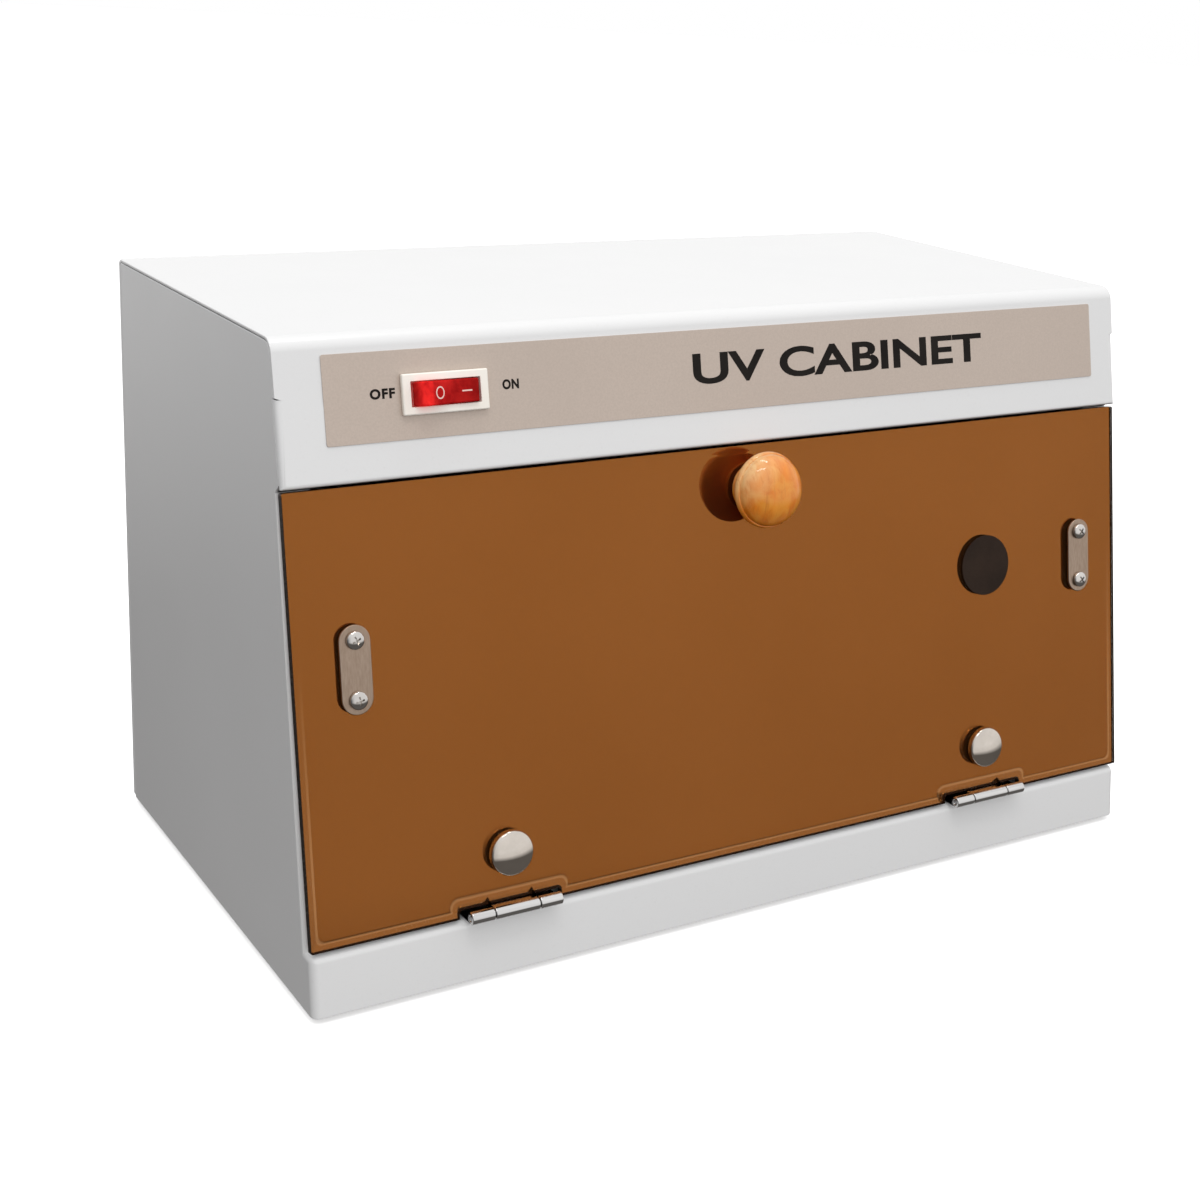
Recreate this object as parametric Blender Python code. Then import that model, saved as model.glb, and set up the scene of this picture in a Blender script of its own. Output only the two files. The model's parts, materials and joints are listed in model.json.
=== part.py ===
"""Countertop ultraviolet sterilizer cabinet for salon tools.

A folded steel cabinet carries an acrylic door hinged along its lower edge, a leaning hood with
a lit rocker switch, and an 8 watt germicidal tube above a wire rack. Metres, +Z up, +X to the
right, +Y to the back. The origin is on the table, under the middle of the whole object.

Sheet parts are drawn by (x, depth, height): depth runs forward from the rear face of the
cabinet, and height runs up from the underside of its floor.
"""

import math

import bmesh
import bpy
from mathutils import Matrix, Vector

# Cabinet
WIDTH = 0.360
HEIGHT = 0.221
SHEET = 0.0010
GAP = 0.0003
DEPTH_TOP = 0.161
HOOD_LOW_DEPTH = 0.171
HOOD_LOW_Z = 0.1737
HOOD_SEAM_Z = 0.202
HOOD_RETURN = 0.0023
HOOD_SLIT = 0.0006
BASE_LOW_DEPTH = 0.197
BASE_TOP_DEPTH = 0.1944
BASE_TOP_Z = 0.0217
LEDGE_BACK_DEPTH = 0.178
FLANGE_LOW_DEPTH = 0.1893
FLANGE_TOP_DEPTH = 0.1650
FLANGE_TOP_Z = 0.1720
FLANGE_WIDTH = 0.012
FRONT_BEND = 0.0028
TOP_BEND = 0.0045
HOOD_CORNER_BEND = 0.0018
REAR_BEND = 0.0014
REAR_RETURN = 0.003
REAR_RIM_Z = 0.012
LEDGE_HEM = 0.008
COVER_HEM = 0.013
CEILING_Z = 0.190
CEILING_FRONT_DEPTH = 0.1495
CEILING_FLANGE = 0.008
CREASE = math.radians(35)

# Openings in the rear panel
VENT_GROUPS = (-0.075, 0.035)
VENTS_PER_GROUP = 6
VENT_SPACING = 0.009
VENT_WIDTH = 0.003
VENT_HEIGHTS = (0.198, 0.214)
LEAD_AT = (0.135, 0.205)
LEAD_HOLE_RADIUS = 0.0065
LEAD_BORE = 0.0036

# Door, leaning back from its lower edge
DOOR_TILT = math.radians(9.5)
DOOR_WIDTH = 0.3596
DOOR_LENGTH = 0.1516
DOOR_THICK = 0.003
DOOR_LOW_DEPTH = 0.1951
DOOR_LOW_Z = 0.0230

# Hinges
HINGE_X = 0.1066
HINGE_DEPTH = 0.1980
HINGE_Z = 0.0243
BARREL_RADIUS = 0.0023
BARREL_LENGTH = 0.035
MIDDLE_KNUCKLE = 0.0176
PIN_RADIUS = 0.0008
BORE_PLAY = 0.00015
LEAF_THICK = 0.0009
CAP_RADIUS = 0.008
CAP_UP_DOOR = 0.0202
NOTCH_WIDTH = 0.0395
NOTCH_HEIGHT = 0.0042
NOTCH_CORNER = 0.0012
BOLT_HOLE_RADIUS = 0.0023

# Door fittings
KNOB_X = -0.0012
KNOB_UP_DOOR = 0.1362
KNOB_RADIUS = 0.0139
PLATE_X = 0.1588
PLATE_UP_DOOR = 0.0922
PLATE_WIDTH = 0.011
PLATE_LENGTH = 0.030
PLATE_THICK = 0.0010
STRIKE_THICK = 0.0012
PLATE_SCREW_SPACING = 0.020
DISC_X = 0.1094
DISC_UP_DOOR = 0.0939
DISC_RADIUS = 0.012

# Switch and label on the hood face, measured up that face from its lower edge
LABEL_SIZE = (0.331, 0.0294)
LABEL_CORNER = 0.0008
LABEL_CENTRE = (0.0015, 0.0275)
LABEL_THICK = 0.0003
LABEL_LIFT = 0.0001
BEZEL_LIFT = 0.0002
SWITCH_AT = (-0.1221, 0.0275)
BEZEL_SIZE = (0.031, 0.0136)
BEZEL_THICK = 0.002
SWITCH_BODY = (0.0270, 0.0112)
SWITCH_BODY_DEPTH = 0.016
WINDOW_SIZE = (0.0250, 0.0084)
WINDOW_DEPTH = 0.0085
ROCKER_PIVOT_DEPTH = 0.0025
BLADE_OFFSET = 0.007
ROCKER_TILT = math.radians(11)

# Lamp
LAMP_DEPTH = 0.084
LAMP_Z = 0.178
LAMP_RADIUS = 0.00775
GLASS_HALF = 0.137
CAP_LENGTH = 0.007
LAMP_PIN_LENGTH = 0.0068
LAMP_PIN_OFFSET = 0.0024
HOLDER_THICK = 0.013
LAMP_LEAD_AT = (0.152, 0.100)
REFLECTOR_HALF = 0.139
REFLECTOR_REACH = 0.0235
REFLECTOR_CROWN = 0.012
REFLECTOR_DROP = 0.012
REFLECTOR_THICK = 0.0006

# Choke and starter, on the ceiling panel
BALLAST_AT = (0.060, 0.060)
CORE_HALF = (0.028, 0.012)
CORE_HEIGHT = 0.024
EAR_REACH = 0.040
EAR_THICK = 0.0015
STARTER_AT = (-0.070, 0.045)
STARTER_RADIUS = 0.0105
SOCKET_HALF = 0.0125

# Feet and fasteners
FOOT_DROP = 0.002
FOOT_X = 0.150
FOOT_DEPTHS = (0.025, 0.165)
FOOT_RADIUS = 0.007
FOOT_NECK = 0.0031
SCREW_HEAD_RISE = 0.0016
SHANK_RADIUS = 0.0014
SCREW_HOLE_RADIUS = 0.0017
REAR_SCREW_X = 0.173
REAR_SCREW_HEIGHTS = (0.012, 0.205)

# Wire rack
RACK_HALF_WIDTH = 0.160
RACK_DEPTHS = (0.014, 0.166)
RACK_Z = 0.0165
RACK_FRAME_RADIUS = 0.0020
RACK_WIRE_RADIUS = 0.0012
RACK_WIRES = 15
RACK_CORNER = 0.012
RACK_LEG_INSET = 0.03
WIRE_RADIUS = 0.0010

# The barrel is the foremost thing and the rear screw heads the rearmost.
REAR_Y = (HINGE_DEPTH + BARREL_RADIUS - SCREW_HEAD_RISE) / 2
HOOD_TILT = math.atan2(HOOD_LOW_DEPTH - DEPTH_TOP, HEIGHT - HOOD_LOW_Z)
SIDES = (("left", -1), ("right", 1))


# ---------------------------------------------------------------- placing and materials


def place(x, depth, z):
    return Vector((x, REAR_Y - depth, z + FOOT_DROP))


def hood_depth(z):
    """Depth of the hood's outer face at a height."""
    share = (HEIGHT - z) / (HEIGHT - HOOD_LOW_Z)
    return DEPTH_TOP + share * (HOOD_LOW_DEPTH - DEPTH_TOP)


def frame_empty(name, at, tilt):
    """An empty whose local Z runs up a face that leans back by tilt, and whose -Y points out."""
    empty = bpy.data.objects.new(name, None)
    empty.location = at
    empty.rotation_euler = (-tilt, 0, 0)
    empty.empty_display_size = 0.02
    bpy.context.scene.collection.objects.link(empty)
    return empty


def material(name, colour, roughness, metallic=0.0, transmission=0.0):
    made = bpy.data.materials.new(name)
    made.use_nodes = True
    shader = made.node_tree.nodes["Principled BSDF"]
    shader.inputs["Base Color"].default_value = (*colour, 1)
    shader.inputs["Roughness"].default_value = roughness
    shader.inputs["Metallic"].default_value = metallic
    shader.inputs["Transmission Weight"].default_value = transmission
    made.diffuse_color = (*colour, 1)
    return made


def make_materials():
    return {
        "white_paint": material("white_paint", (0.86, 0.87, 0.88), 0.28),
        "amber_acrylic": material("amber_acrylic", (0.28, 0.10, 0.025), 0.06, 0.0, 0.35),
        "varnished_wood": material("varnished_wood", (0.72, 0.33, 0.10), 0.22),
        "chrome": material("chrome", (0.78, 0.78, 0.80), 0.08, 1.0),
        "nickel": material("nickel", (0.55, 0.52, 0.48), 0.32, 1.0),
        "zinc_steel": material("zinc_steel", (0.62, 0.63, 0.64), 0.35, 1.0),
        "label_film": material("label_film", (0.50, 0.43, 0.37), 0.45),
        "cream_plastic": material("cream_plastic", (0.92, 0.86, 0.75), 0.30),
        "red_lens": material("red_lens", (0.60, 0.01, 0.01), 0.12, 0.0, 0.3),
        "brown_film": material("brown_film", (0.03, 0.02, 0.015), 0.35),
        "brown_plastic": material("brown_plastic", (0.10, 0.045, 0.02), 0.45),
        "ferrite": material("ferrite", (0.05, 0.05, 0.055), 0.55),
        "quartz_glass": material("quartz_glass", (0.92, 0.95, 1.0), 0.04, 0.0, 0.6),
        "aluminium": material("aluminium", (0.80, 0.81, 0.82), 0.22, 1.0),
        "white_plastic": material("white_plastic", (0.85, 0.85, 0.83), 0.40),
        "core_steel": material("core_steel", (0.20, 0.21, 0.22), 0.50, 0.8),
        "winding_tape": material("winding_tape", (0.62, 0.45, 0.08), 0.50),
        "brass": material("brass", (0.72, 0.55, 0.22), 0.30, 1.0),
        "black_rubber": material("black_rubber", (0.02, 0.02, 0.02), 0.75),
        "grey_cable": material("grey_cable", (0.30, 0.31, 0.33), 0.55),
    }


# ---------------------------------------------------------------- shapes


def add_object(name, bm, look, parent=None, at=(0, 0, 0), turn=(0, 0, 0)):
    """Turns a bmesh into a linked object placed under its parent."""
    bmesh.ops.recalc_face_normals(bm, faces=bm.faces)
    mesh = bpy.data.meshes.new(name)
    bm.to_mesh(mesh)
    bm.free()
    mesh.shade_smooth()
    mesh.set_sharp_from_angle(angle=CREASE)
    if look is not None:
        mesh.materials.append(look)
    made = bpy.data.objects.new(name, mesh)
    made.location = at
    made.rotation_euler = turn
    made.parent = parent
    bpy.context.scene.collection.objects.link(made)
    return made


def sheet_part(name, corners, panels, bends, outward, look):
    """A folded sheet: named corners, panels through them, and bends as (pairs, radius, steps).

    outward is the direction that the first panel faces; the sheet's thickness lies behind it.
    """
    bm = bmesh.new()
    vert = {key: bm.verts.new(place(*at)) for key, at in corners.items()}
    faces = [bm.faces.new([vert[key] for key in panel]) for panel in panels]
    bmesh.ops.recalc_face_normals(bm, faces=bm.faces)
    bm.normal_update()
    if faces[0].normal.dot(Vector(outward)) < 0:
        bmesh.ops.reverse_faces(bm, faces=bm.faces)
    folds = [([bm.edges.get((vert[a], vert[b])) for a, b in pairs], r, n) for pairs, r, n in bends]
    for edges, radius, steps in folds:
        bmesh.ops.bevel(bm, geom=edges, offset=radius, offset_type="OFFSET", segments=steps,
                        profile=0.5, affect="EDGES")
    mesh = bpy.data.meshes.new(name)
    bm.to_mesh(mesh)
    bm.free()
    mesh.shade_smooth()
    mesh.set_sharp_from_angle(angle=CREASE)
    mesh.materials.append(look)
    made = bpy.data.objects.new(name, mesh)
    bpy.context.scene.collection.objects.link(made)
    thick = made.modifiers.new("sheet_thickness", "SOLIDIFY")
    thick.thickness = SHEET
    thick.offset = -1
    thick.use_even_offset = True
    thick.use_quality_normals = True
    return made


def add_box(bm, low, high):
    size = [b - a for a, b in zip(low, high)]
    middle = [(a + b) / 2 for a, b in zip(low, high)]
    matrix = Matrix.Translation(middle) @ Matrix.Diagonal((*size, 1))
    return bmesh.ops.create_cube(bm, size=1, matrix=matrix)["verts"]


def add_cylinder(bm, centre, radius, length, axis="Z", steps=20):
    turn = {"X": Matrix.Rotation(math.pi / 2, 4, "Y"),
            "Y": Matrix.Rotation(math.pi / 2, 4, "X"),
            "Z": Matrix.Identity(4)}[axis]
    return bmesh.ops.create_cone(bm, cap_ends=True, segments=steps, radius1=radius, radius2=radius,
                                 depth=length, matrix=Matrix.Translation(centre) @ turn)["verts"]


def box_part(name, low, high, look, parent=None, bevel=0.0):
    bm = bmesh.new()
    add_box(bm, low, high)
    if bevel:
        bmesh.ops.bevel(bm, geom=bm.edges[:], offset=bevel, segments=2, profile=0.5,
                        affect="EDGES")
    return add_object(name, bm, look, parent)


def cylinder_part(name, centre, radius, length, look, parent=None, axis="Z", steps=20):
    bm = bmesh.new()
    add_cylinder(bm, centre, radius, length, axis, steps)
    return add_object(name, bm, look, parent)


def turned_part(name, profile, look, parent=None, at=(0, 0, 0), turn=(0, 0, 0), steps=24):
    """A lathe shape about local Z: profile is (radius, height) from one end to the other."""
    bm = bmesh.new()
    rings = []
    for radius, height in profile:
        count = steps if radius > 0 else 1
        angles = [2 * math.pi * i / count for i in range(count)]
        ring = [bm.verts.new((radius * math.cos(a), radius * math.sin(a), height)) for a in angles]
        rings.append(ring)
    pairs = list(zip(rings, rings[1:]))
    if profile[0][0] > 0:
        pairs.append((rings[-1], rings[0]))
    for low, high in pairs:
        for i in range(steps):
            j = (i + 1) % steps
            corners = [low[i % len(low)], low[j % len(low)], high[j % len(high)], high[i % len(high)]]
            bm.faces.new(list(dict.fromkeys(corners)))
    return add_object(name, bm, look, parent, at, turn)


def outline_part(name, outline, thickness, look, parent=None, at=(0, 0, 0), turn=(0, 0, 0)):
    """A flat plate: the outline lies in local XZ, and the thickness runs along local +Y."""
    bm = bmesh.new()
    face = bm.faces.new([bm.verts.new((x, 0, z)) for x, z in outline])
    grown = bmesh.ops.extrude_face_region(bm, geom=[face])["geom"]
    moved = [item for item in grown if isinstance(item, bmesh.types.BMVert)]
    bmesh.ops.translate(bm, vec=(0, thickness, 0), verts=moved)
    return add_object(name, bm, look, parent, at, turn)


def rounded_outline(width, height, radius, steps=6):
    """A rectangle with round corners, centred on the origin."""
    points = []
    for corner in range(4):
        angle = corner * math.pi / 2
        sx = 1 if corner in (0, 3) else -1
        sz = 1 if corner in (0, 1) else -1
        centre = (sx * (width / 2 - radius), sz * (height / 2 - radius))
        for i in range(steps + 1):
            a = angle + i * math.pi / 2 / steps
            points.append((centre[0] + radius * math.cos(a), centre[1] + radius * math.sin(a)))
    return [p for i, p in enumerate(points)
            if math.dist(p, points[i - 1]) > 1e-6]


def cut(target, cutter):
    """Takes the cutter out of the target; the cutter stays as a hidden helper."""
    cutter.hide_render = True
    cutter.display_type = "WIRE"
    hole = target.modifiers.new("cut_" + cutter.name, "BOOLEAN")
    hole.operation = "DIFFERENCE"
    hole.solver = "EXACT"
    hole.object = cutter


def join(target, helper):
    """Welds the helper's shapes to the target."""
    helper.hide_render = True
    helper.display_type = "WIRE"
    weld = target.modifiers.new("join_" + helper.name, "BOOLEAN")
    weld.operation = "UNION"
    weld.solver = "EXACT"
    weld.object = helper


def cylinders_helper(name, places, radius, length, axis, parent=None, steps=14):
    bm = bmesh.new()
    for centre in places:
        add_cylinder(bm, centre, radius, length, axis, steps)
    return add_object(name, bm, None, parent)


def pan_screw(name, head_radius, head_height, shank_radius, shank_length, look, parent, at, turn):
    """A pan-head screw whose head's underside is at its origin and whose shank runs down -Z."""
    profile = [
        (0, -shank_length),
        (shank_radius * 0.7, -shank_length),
        (shank_radius, -shank_length + shank_radius * 0.4),
        (shank_radius, 0),
        (head_radius, 0),
        (head_radius, head_height * 0.45),
        (head_radius * 0.86, head_height * 0.80),
        (head_radius * 0.50, head_height),
        (0, head_height),
    ]
    return turned_part(name, profile, look, parent, at, turn, steps=16)


# ---------------------------------------------------------------- cabinet


def make_body(look):
    """Sides, floor, base strip, ledge and flanges: one folded and welded sheet."""
    half = WIDTH / 2
    inner = half - FLANGE_WIDTH
    rear = REAR_RETURN + GAP
    side_top = HEIGHT - SHEET - GAP
    seam = HOOD_SEAM_Z + GAP
    hood_low = HOOD_LOW_Z + SHEET + GAP
    bend_sweep = math.pi / 2 - HOOD_TILT
    cover_radius = TOP_BEND / math.tan(bend_sweep / 2)

    def bend_point(angle):
        """Depth and height on an arc just inside the cover's top bend."""
        radius = cover_radius - SHEET - GAP
        return (DEPTH_TOP - TOP_BEND + radius * math.cos(angle),
                HEIGHT - cover_radius + radius * math.sin(angle))

    corners = {}
    for side, s in SIDES:
        spots = {
            "floor_rear": (half, rear, 0),
            "floor_front": (half, BASE_LOW_DEPTH, 0),
            "base_top": (half, BASE_TOP_DEPTH, BASE_TOP_Z),
            "flange_low": (half, FLANGE_LOW_DEPTH, BASE_TOP_Z),
            "flange_top": (half, FLANGE_TOP_DEPTH, FLANGE_TOP_Z),
            "hood_low": (half, hood_depth(hood_low) - HOOD_RETURN - GAP, hood_low),
            "seam_in": (half, hood_depth(seam) - HOOD_RETURN - GAP, seam),
            "seam_out": (half, hood_depth(seam) - SHEET - GAP, seam),
            "bend_0": (half, *bend_point(HOOD_TILT)),
            "bend_1": (half, *bend_point(HOOD_TILT + bend_sweep / 3)),
            "bend_2": (half, *bend_point(HOOD_TILT + bend_sweep * 2 / 3)),
            "top_front": (half, *bend_point(math.pi / 2)),
            "top_rear": (half, rear, side_top),
            "flange_low_in": (inner, FLANGE_LOW_DEPTH, BASE_TOP_Z),
            "flange_top_in": (inner, FLANGE_TOP_DEPTH, FLANGE_TOP_Z),
            "ledge_rear": (inner, LEDGE_BACK_DEPTH, BASE_TOP_Z),
            "hem": (inner, LEDGE_BACK_DEPTH, BASE_TOP_Z - LEDGE_HEM),
            "top_front_in": (inner, DEPTH_TOP - TOP_BEND, side_top),
            "top_rear_in": (inner, rear, side_top),
            "rim_low": (inner, rear, REAR_RIM_Z),
        }
        for key, (x, depth, z) in spots.items():
            corners[f"{key}_{side}"] = (s * x, depth, z)
    panels = []
    bends = []
    for side, _ in SIDES:
        panels.append([f"{key}_{side}" for key in (
            "floor_rear", "floor_front", "base_top", "flange_low", "flange_top", "hood_low",
            "seam_in", "seam_out", "bend_0", "bend_1", "bend_2", "top_front", "top_rear")])
        panels.append([f"{key}_{side}" for key in (
            "flange_low", "flange_top", "flange_top_in", "flange_low_in")])
        panels.append([f"{key}_{side}" for key in (
            "top_front", "top_rear", "top_rear_in", "top_front_in")])
        bends += [(f"floor_front_{side}", f"base_top_{side}"),
                  (f"base_top_{side}", f"flange_low_{side}"),
                  (f"flange_low_{side}", f"flange_top_{side}")]
    bends.append(("base_top_left", "base_top_right"))
    panels.append(["floor_front_left", "floor_front_right", "base_top_right", "base_top_left"])
    panels.append(["base_top_left", "base_top_right", "flange_low_right", "flange_low_in_right",
                   "ledge_rear_right", "ledge_rear_left", "flange_low_in_left",
                   "flange_low_left"])
    panels.append(["ledge_rear_left", "ledge_rear_right", "hem_right", "hem_left"])
    panels.append(["floor_rear_left", "floor_rear_right", "floor_front_right",
                   "floor_front_left"])
    panels.append(["floor_rear_left", "top_rear_left", "top_rear_in_left", "rim_low_left",
                   "rim_low_right", "top_rear_in_right", "top_rear_right", "floor_rear_right"])
    body = sheet_part("cabinet_body", corners, panels, [(bends, FRONT_BEND, 4)], (-1, 0, 0), look)
    places = [place(s * FOOT_X, depth, 0) for _, s in SIDES for depth in FOOT_DEPTHS]
    cut(body, cylinders_helper("foot_holes", places, FOOT_NECK + GAP, 0.01, "Z"))
    places = [place(s * REAR_SCREW_X, rear, z) for _, s in SIDES for z in REAR_SCREW_HEIGHTS]
    cut(body, cylinders_helper("rim_screw_holes", places, SCREW_HOLE_RADIUS, 0.006, "Y"))
    places = [place(s * HINGE_X, LEDGE_BACK_DEPTH + 0.005, BASE_TOP_Z) for _, s in SIDES]
    cut(body, cylinders_helper("ledge_screw_holes", places, SCREW_HOLE_RADIUS, 0.006, "Z"))
    return body


def make_cover(look, hood):
    """The top and the leaning hood face, bent from one sheet, with short side returns."""
    half = WIDTH / 2
    rear = REAR_RETURN + GAP
    tuck = half - SHEET - 2 * GAP
    inner = half - FLANGE_WIDTH - 2 * GAP
    corners = {}
    for side, s in SIDES:
        spots = {
            "rear": (half, rear, HEIGHT),
            "front": (half, DEPTH_TOP, HEIGHT),
            "slit": (half, hood_depth(HOOD_SEAM_Z + HOOD_SLIT), HOOD_SEAM_Z + HOOD_SLIT),
            "seam": (half, hood_depth(HOOD_SEAM_Z), HOOD_SEAM_Z),
            "low": (half, HOOD_LOW_DEPTH, HOOD_LOW_Z),
            "seam_back": (half, hood_depth(HOOD_SEAM_Z) - HOOD_RETURN, HOOD_SEAM_Z),
            "low_back": (half, HOOD_LOW_DEPTH - HOOD_RETURN, HOOD_LOW_Z),
            "lip_front": (tuck, HOOD_LOW_DEPTH - HOOD_RETURN - SHEET, HOOD_LOW_Z),
            "lip_rear": (tuck, CEILING_FRONT_DEPTH, HOOD_LOW_Z),
            "rear_in": (inner, rear, HEIGHT),
            "rear_low": (inner, rear, HEIGHT - COVER_HEM),
        }
        for key, (x, depth, z) in spots.items():
            corners[f"{key}_{side}"] = (s * x, depth, z)
    panels = [
        ["rear_left", "front_left", "front_right", "rear_right", "rear_in_right", "rear_in_left"],
        ["front_left", "slit_left", "seam_left", "low_left", "low_right", "seam_right",
         "slit_right", "front_right"],
        ["low_left", "lip_front_left", "lip_rear_left", "lip_rear_right", "lip_front_right",
         "low_right"],
        ["rear_in_left", "rear_in_right", "rear_low_right", "rear_low_left"],
    ]
    panels += [[f"{key}_{side}" for key in ("seam", "seam_back", "low_back", "low")]
               for side, _ in SIDES]
    soft = [("low_left", "low_right"), ("seam_left", "low_left"), ("seam_right", "low_right")]
    bends = [([("front_left", "front_right")], TOP_BEND, 5), (soft, HOOD_CORNER_BEND, 3)]
    cover = sheet_part("top_hood_cover", corners, panels, bends, (0, 0, 1), look)
    width, height = (size + 2 * GAP for size in SWITCH_BODY)
    x, up = SWITCH_AT
    cutter = box_part("hood_switch_cutout", (x - width / 2, -0.006, up - height / 2),
                      (x + width / 2, 0.006, up + height / 2), None, hood)
    cut(cover, cutter)
    return cover


def make_rear_panel(look):
    """A shallow pan whose returns meet the sides, with cooling slots and a lead hole."""
    half = WIDTH / 2
    corners = {}
    for side, s in SIDES:
        for level, z in (("low", 0), ("high", HEIGHT)):
            corners[f"{level}_{side}"] = (s * half, 0, z)
            corners[f"{level}_{side}_rim"] = (s * half, REAR_RETURN, z)
    ring = ["low_left", "low_right", "high_right", "high_left"]
    panels = [ring]
    for a, b in zip(ring, ring[1:] + ring[:1]):
        panels.append([a, b, b + "_rim", a + "_rim"])
    soft = list(zip(ring, ring[1:] + ring[:1])) + [(key, key + "_rim") for key in ring]
    panel = sheet_part("rear_panel", corners, panels, [(soft, REAR_BEND, 2)], (0, 1, 0), look)
    places = [place(s * REAR_SCREW_X, 0, z) for _, s in SIDES for z in REAR_SCREW_HEIGHTS]
    cut(panel, cylinders_helper("rear_screw_holes", places, SCREW_HOLE_RADIUS, 0.006, "Y"))
    low, high = VENT_HEIGHTS
    bm = bmesh.new()
    for x in VENT_GROUPS:
        for i in range(VENTS_PER_GROUP):
            left = x + i * VENT_SPACING
            add_box(bm, place(left, 0.004, low), place(left + VENT_WIDTH, -0.004, high))
    x, z = LEAD_AT
    add_cylinder(bm, place(x, 0, z), LEAD_HOLE_RADIUS, 0.008, "Y", 20)
    cut(panel, add_object("rear_openings", bm, None))
    return panel


def make_ceiling(look):
    """The shelf between the chamber and the wiring space, with a drop at its front."""
    half = WIDTH / 2 - SHEET - 2 * GAP
    rear = REAR_RETURN + GAP + SHEET + 2 * GAP
    front = CEILING_FRONT_DEPTH
    drop = HOOD_LOW_Z + SHEET + GAP
    corners = {}
    for side, s in SIDES:
        corners[f"rear_{side}"] = (s * half, rear, CEILING_Z)
        corners[f"front_{side}"] = (s * half, front, CEILING_Z)
        corners[f"drop_{side}"] = (s * half, front, drop)
        corners[f"rear_up_{side}"] = (s * half, rear, CEILING_Z + CEILING_FLANGE)
        corners[f"front_up_{side}"] = (s * half, front, CEILING_Z + CEILING_FLANGE)
    panels = [["rear_left", "front_left", "front_right", "rear_right"],
              ["front_left", "drop_left", "drop_right", "front_right"]]
    panels += [[f"{key}_{side}" for key in ("rear", "front", "front_up", "rear_up")]
               for side, _ in SIDES]
    shelf = sheet_part("ceiling_panel", corners, panels, [], (0, 0, -1), look)
    x, depth = LAMP_LEAD_AT
    places = [place(s * x, depth, CEILING_Z) for _, s in SIDES]
    cut(shelf, cylinders_helper("lead_holes", places, 0.004, 0.006, "Z"))
    return shelf


def make_reflector(look):
    """A shallow trough above the tube."""
    top = CEILING_Z - GAP
    section = {"a": (-REFLECTOR_REACH, top - REFLECTOR_DROP), "b": (-REFLECTOR_CROWN, top),
               "c": (REFLECTOR_CROWN, top), "d": (REFLECTOR_REACH, top - REFLECTOR_DROP)}
    corners = {f"{key}_{side}": (s * REFLECTOR_HALF, LAMP_DEPTH + forward, z)
               for side, s in SIDES for key, (forward, z) in section.items()}
    panels = [[f"{m}_left", f"{m}_right", f"{n}_right", f"{n}_left"]
              for m, n in (("b", "c"), ("a", "b"), ("c", "d"))]
    trough = sheet_part("lamp_reflector", corners, panels, [], (0, 0, 1), look)
    trough.modifiers["sheet_thickness"].thickness = REFLECTOR_THICK
    return trough


def make_feet(look):
    """Push-in rubber feet: a low pad, a neck through the floor and a barb above it."""
    under = FOOT_DROP - GAP
    barb = FOOT_DROP + SHEET + GAP
    tip = FOOT_DROP + SHEET + 0.003
    profile = [(0, 0), (FOOT_RADIUS - 0.0008, 0), (FOOT_RADIUS, 0.0008), (FOOT_RADIUS, under),
               (FOOT_NECK, under), (FOOT_NECK, barb), (FOOT_NECK + 0.0015, barb),
               (FOOT_NECK + 0.0003, tip), (0, tip)]
    for side, s in SIDES:
        for end, depth in zip(("rear", "front"), FOOT_DEPTHS):
            at = place(s * FOOT_X, depth, -FOOT_DROP)
            turned_part(f"foot_{end}_{side}", profile, look, at=at, steps=20)


def make_rear_screws(look):
    for side, s in SIDES:
        for level, z in zip(("low", "high"), REAR_SCREW_HEIGHTS):
            pan_screw(f"rear_screw_{level}_{side}", 0.003, SCREW_HEAD_RISE - GAP, SHANK_RADIUS,
                      0.006, look, None, place(s * REAR_SCREW_X, -GAP, z), (-math.pi / 2, 0, 0))


def make_bushing(look):
    """The rubber bushing that the supply lead would pass through."""
    neck = LEAD_HOLE_RADIUS - GAP
    lip = LEAD_HOLE_RADIUS + 0.0016
    outside = -0.0015
    inside = 0.0030
    profile = [(LEAD_BORE, outside), (lip - 0.0009, outside), (lip, -GAP), (neck, -GAP),
               (neck, SHEET + GAP), (lip, SHEET + GAP), (lip, inside), (LEAD_BORE, inside)]
    x, z = LEAD_AT
    turned_part("cord_bushing", profile, look, at=place(x, 0, z), turn=(math.pi / 2, 0, 0),
                steps=20)


# ---------------------------------------------------------------- hood fittings


def make_label(look, hood):
    x, up = LABEL_CENTRE
    label = outline_part("label_plate", rounded_outline(*LABEL_SIZE, LABEL_CORNER, 4), LABEL_THICK, look,
                         hood, (x, -LABEL_THICK - LABEL_LIFT, up))
    width, height = (size + 2 * GAP for size in SWITCH_BODY)
    dx, dz = SWITCH_AT
    cutter = box_part("label_switch_cutout", (dx - width / 2, -0.004, dz - height / 2),
                      (dx + width / 2, 0.004, dz + height / 2), None, hood)
    cut(label, cutter)


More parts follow.
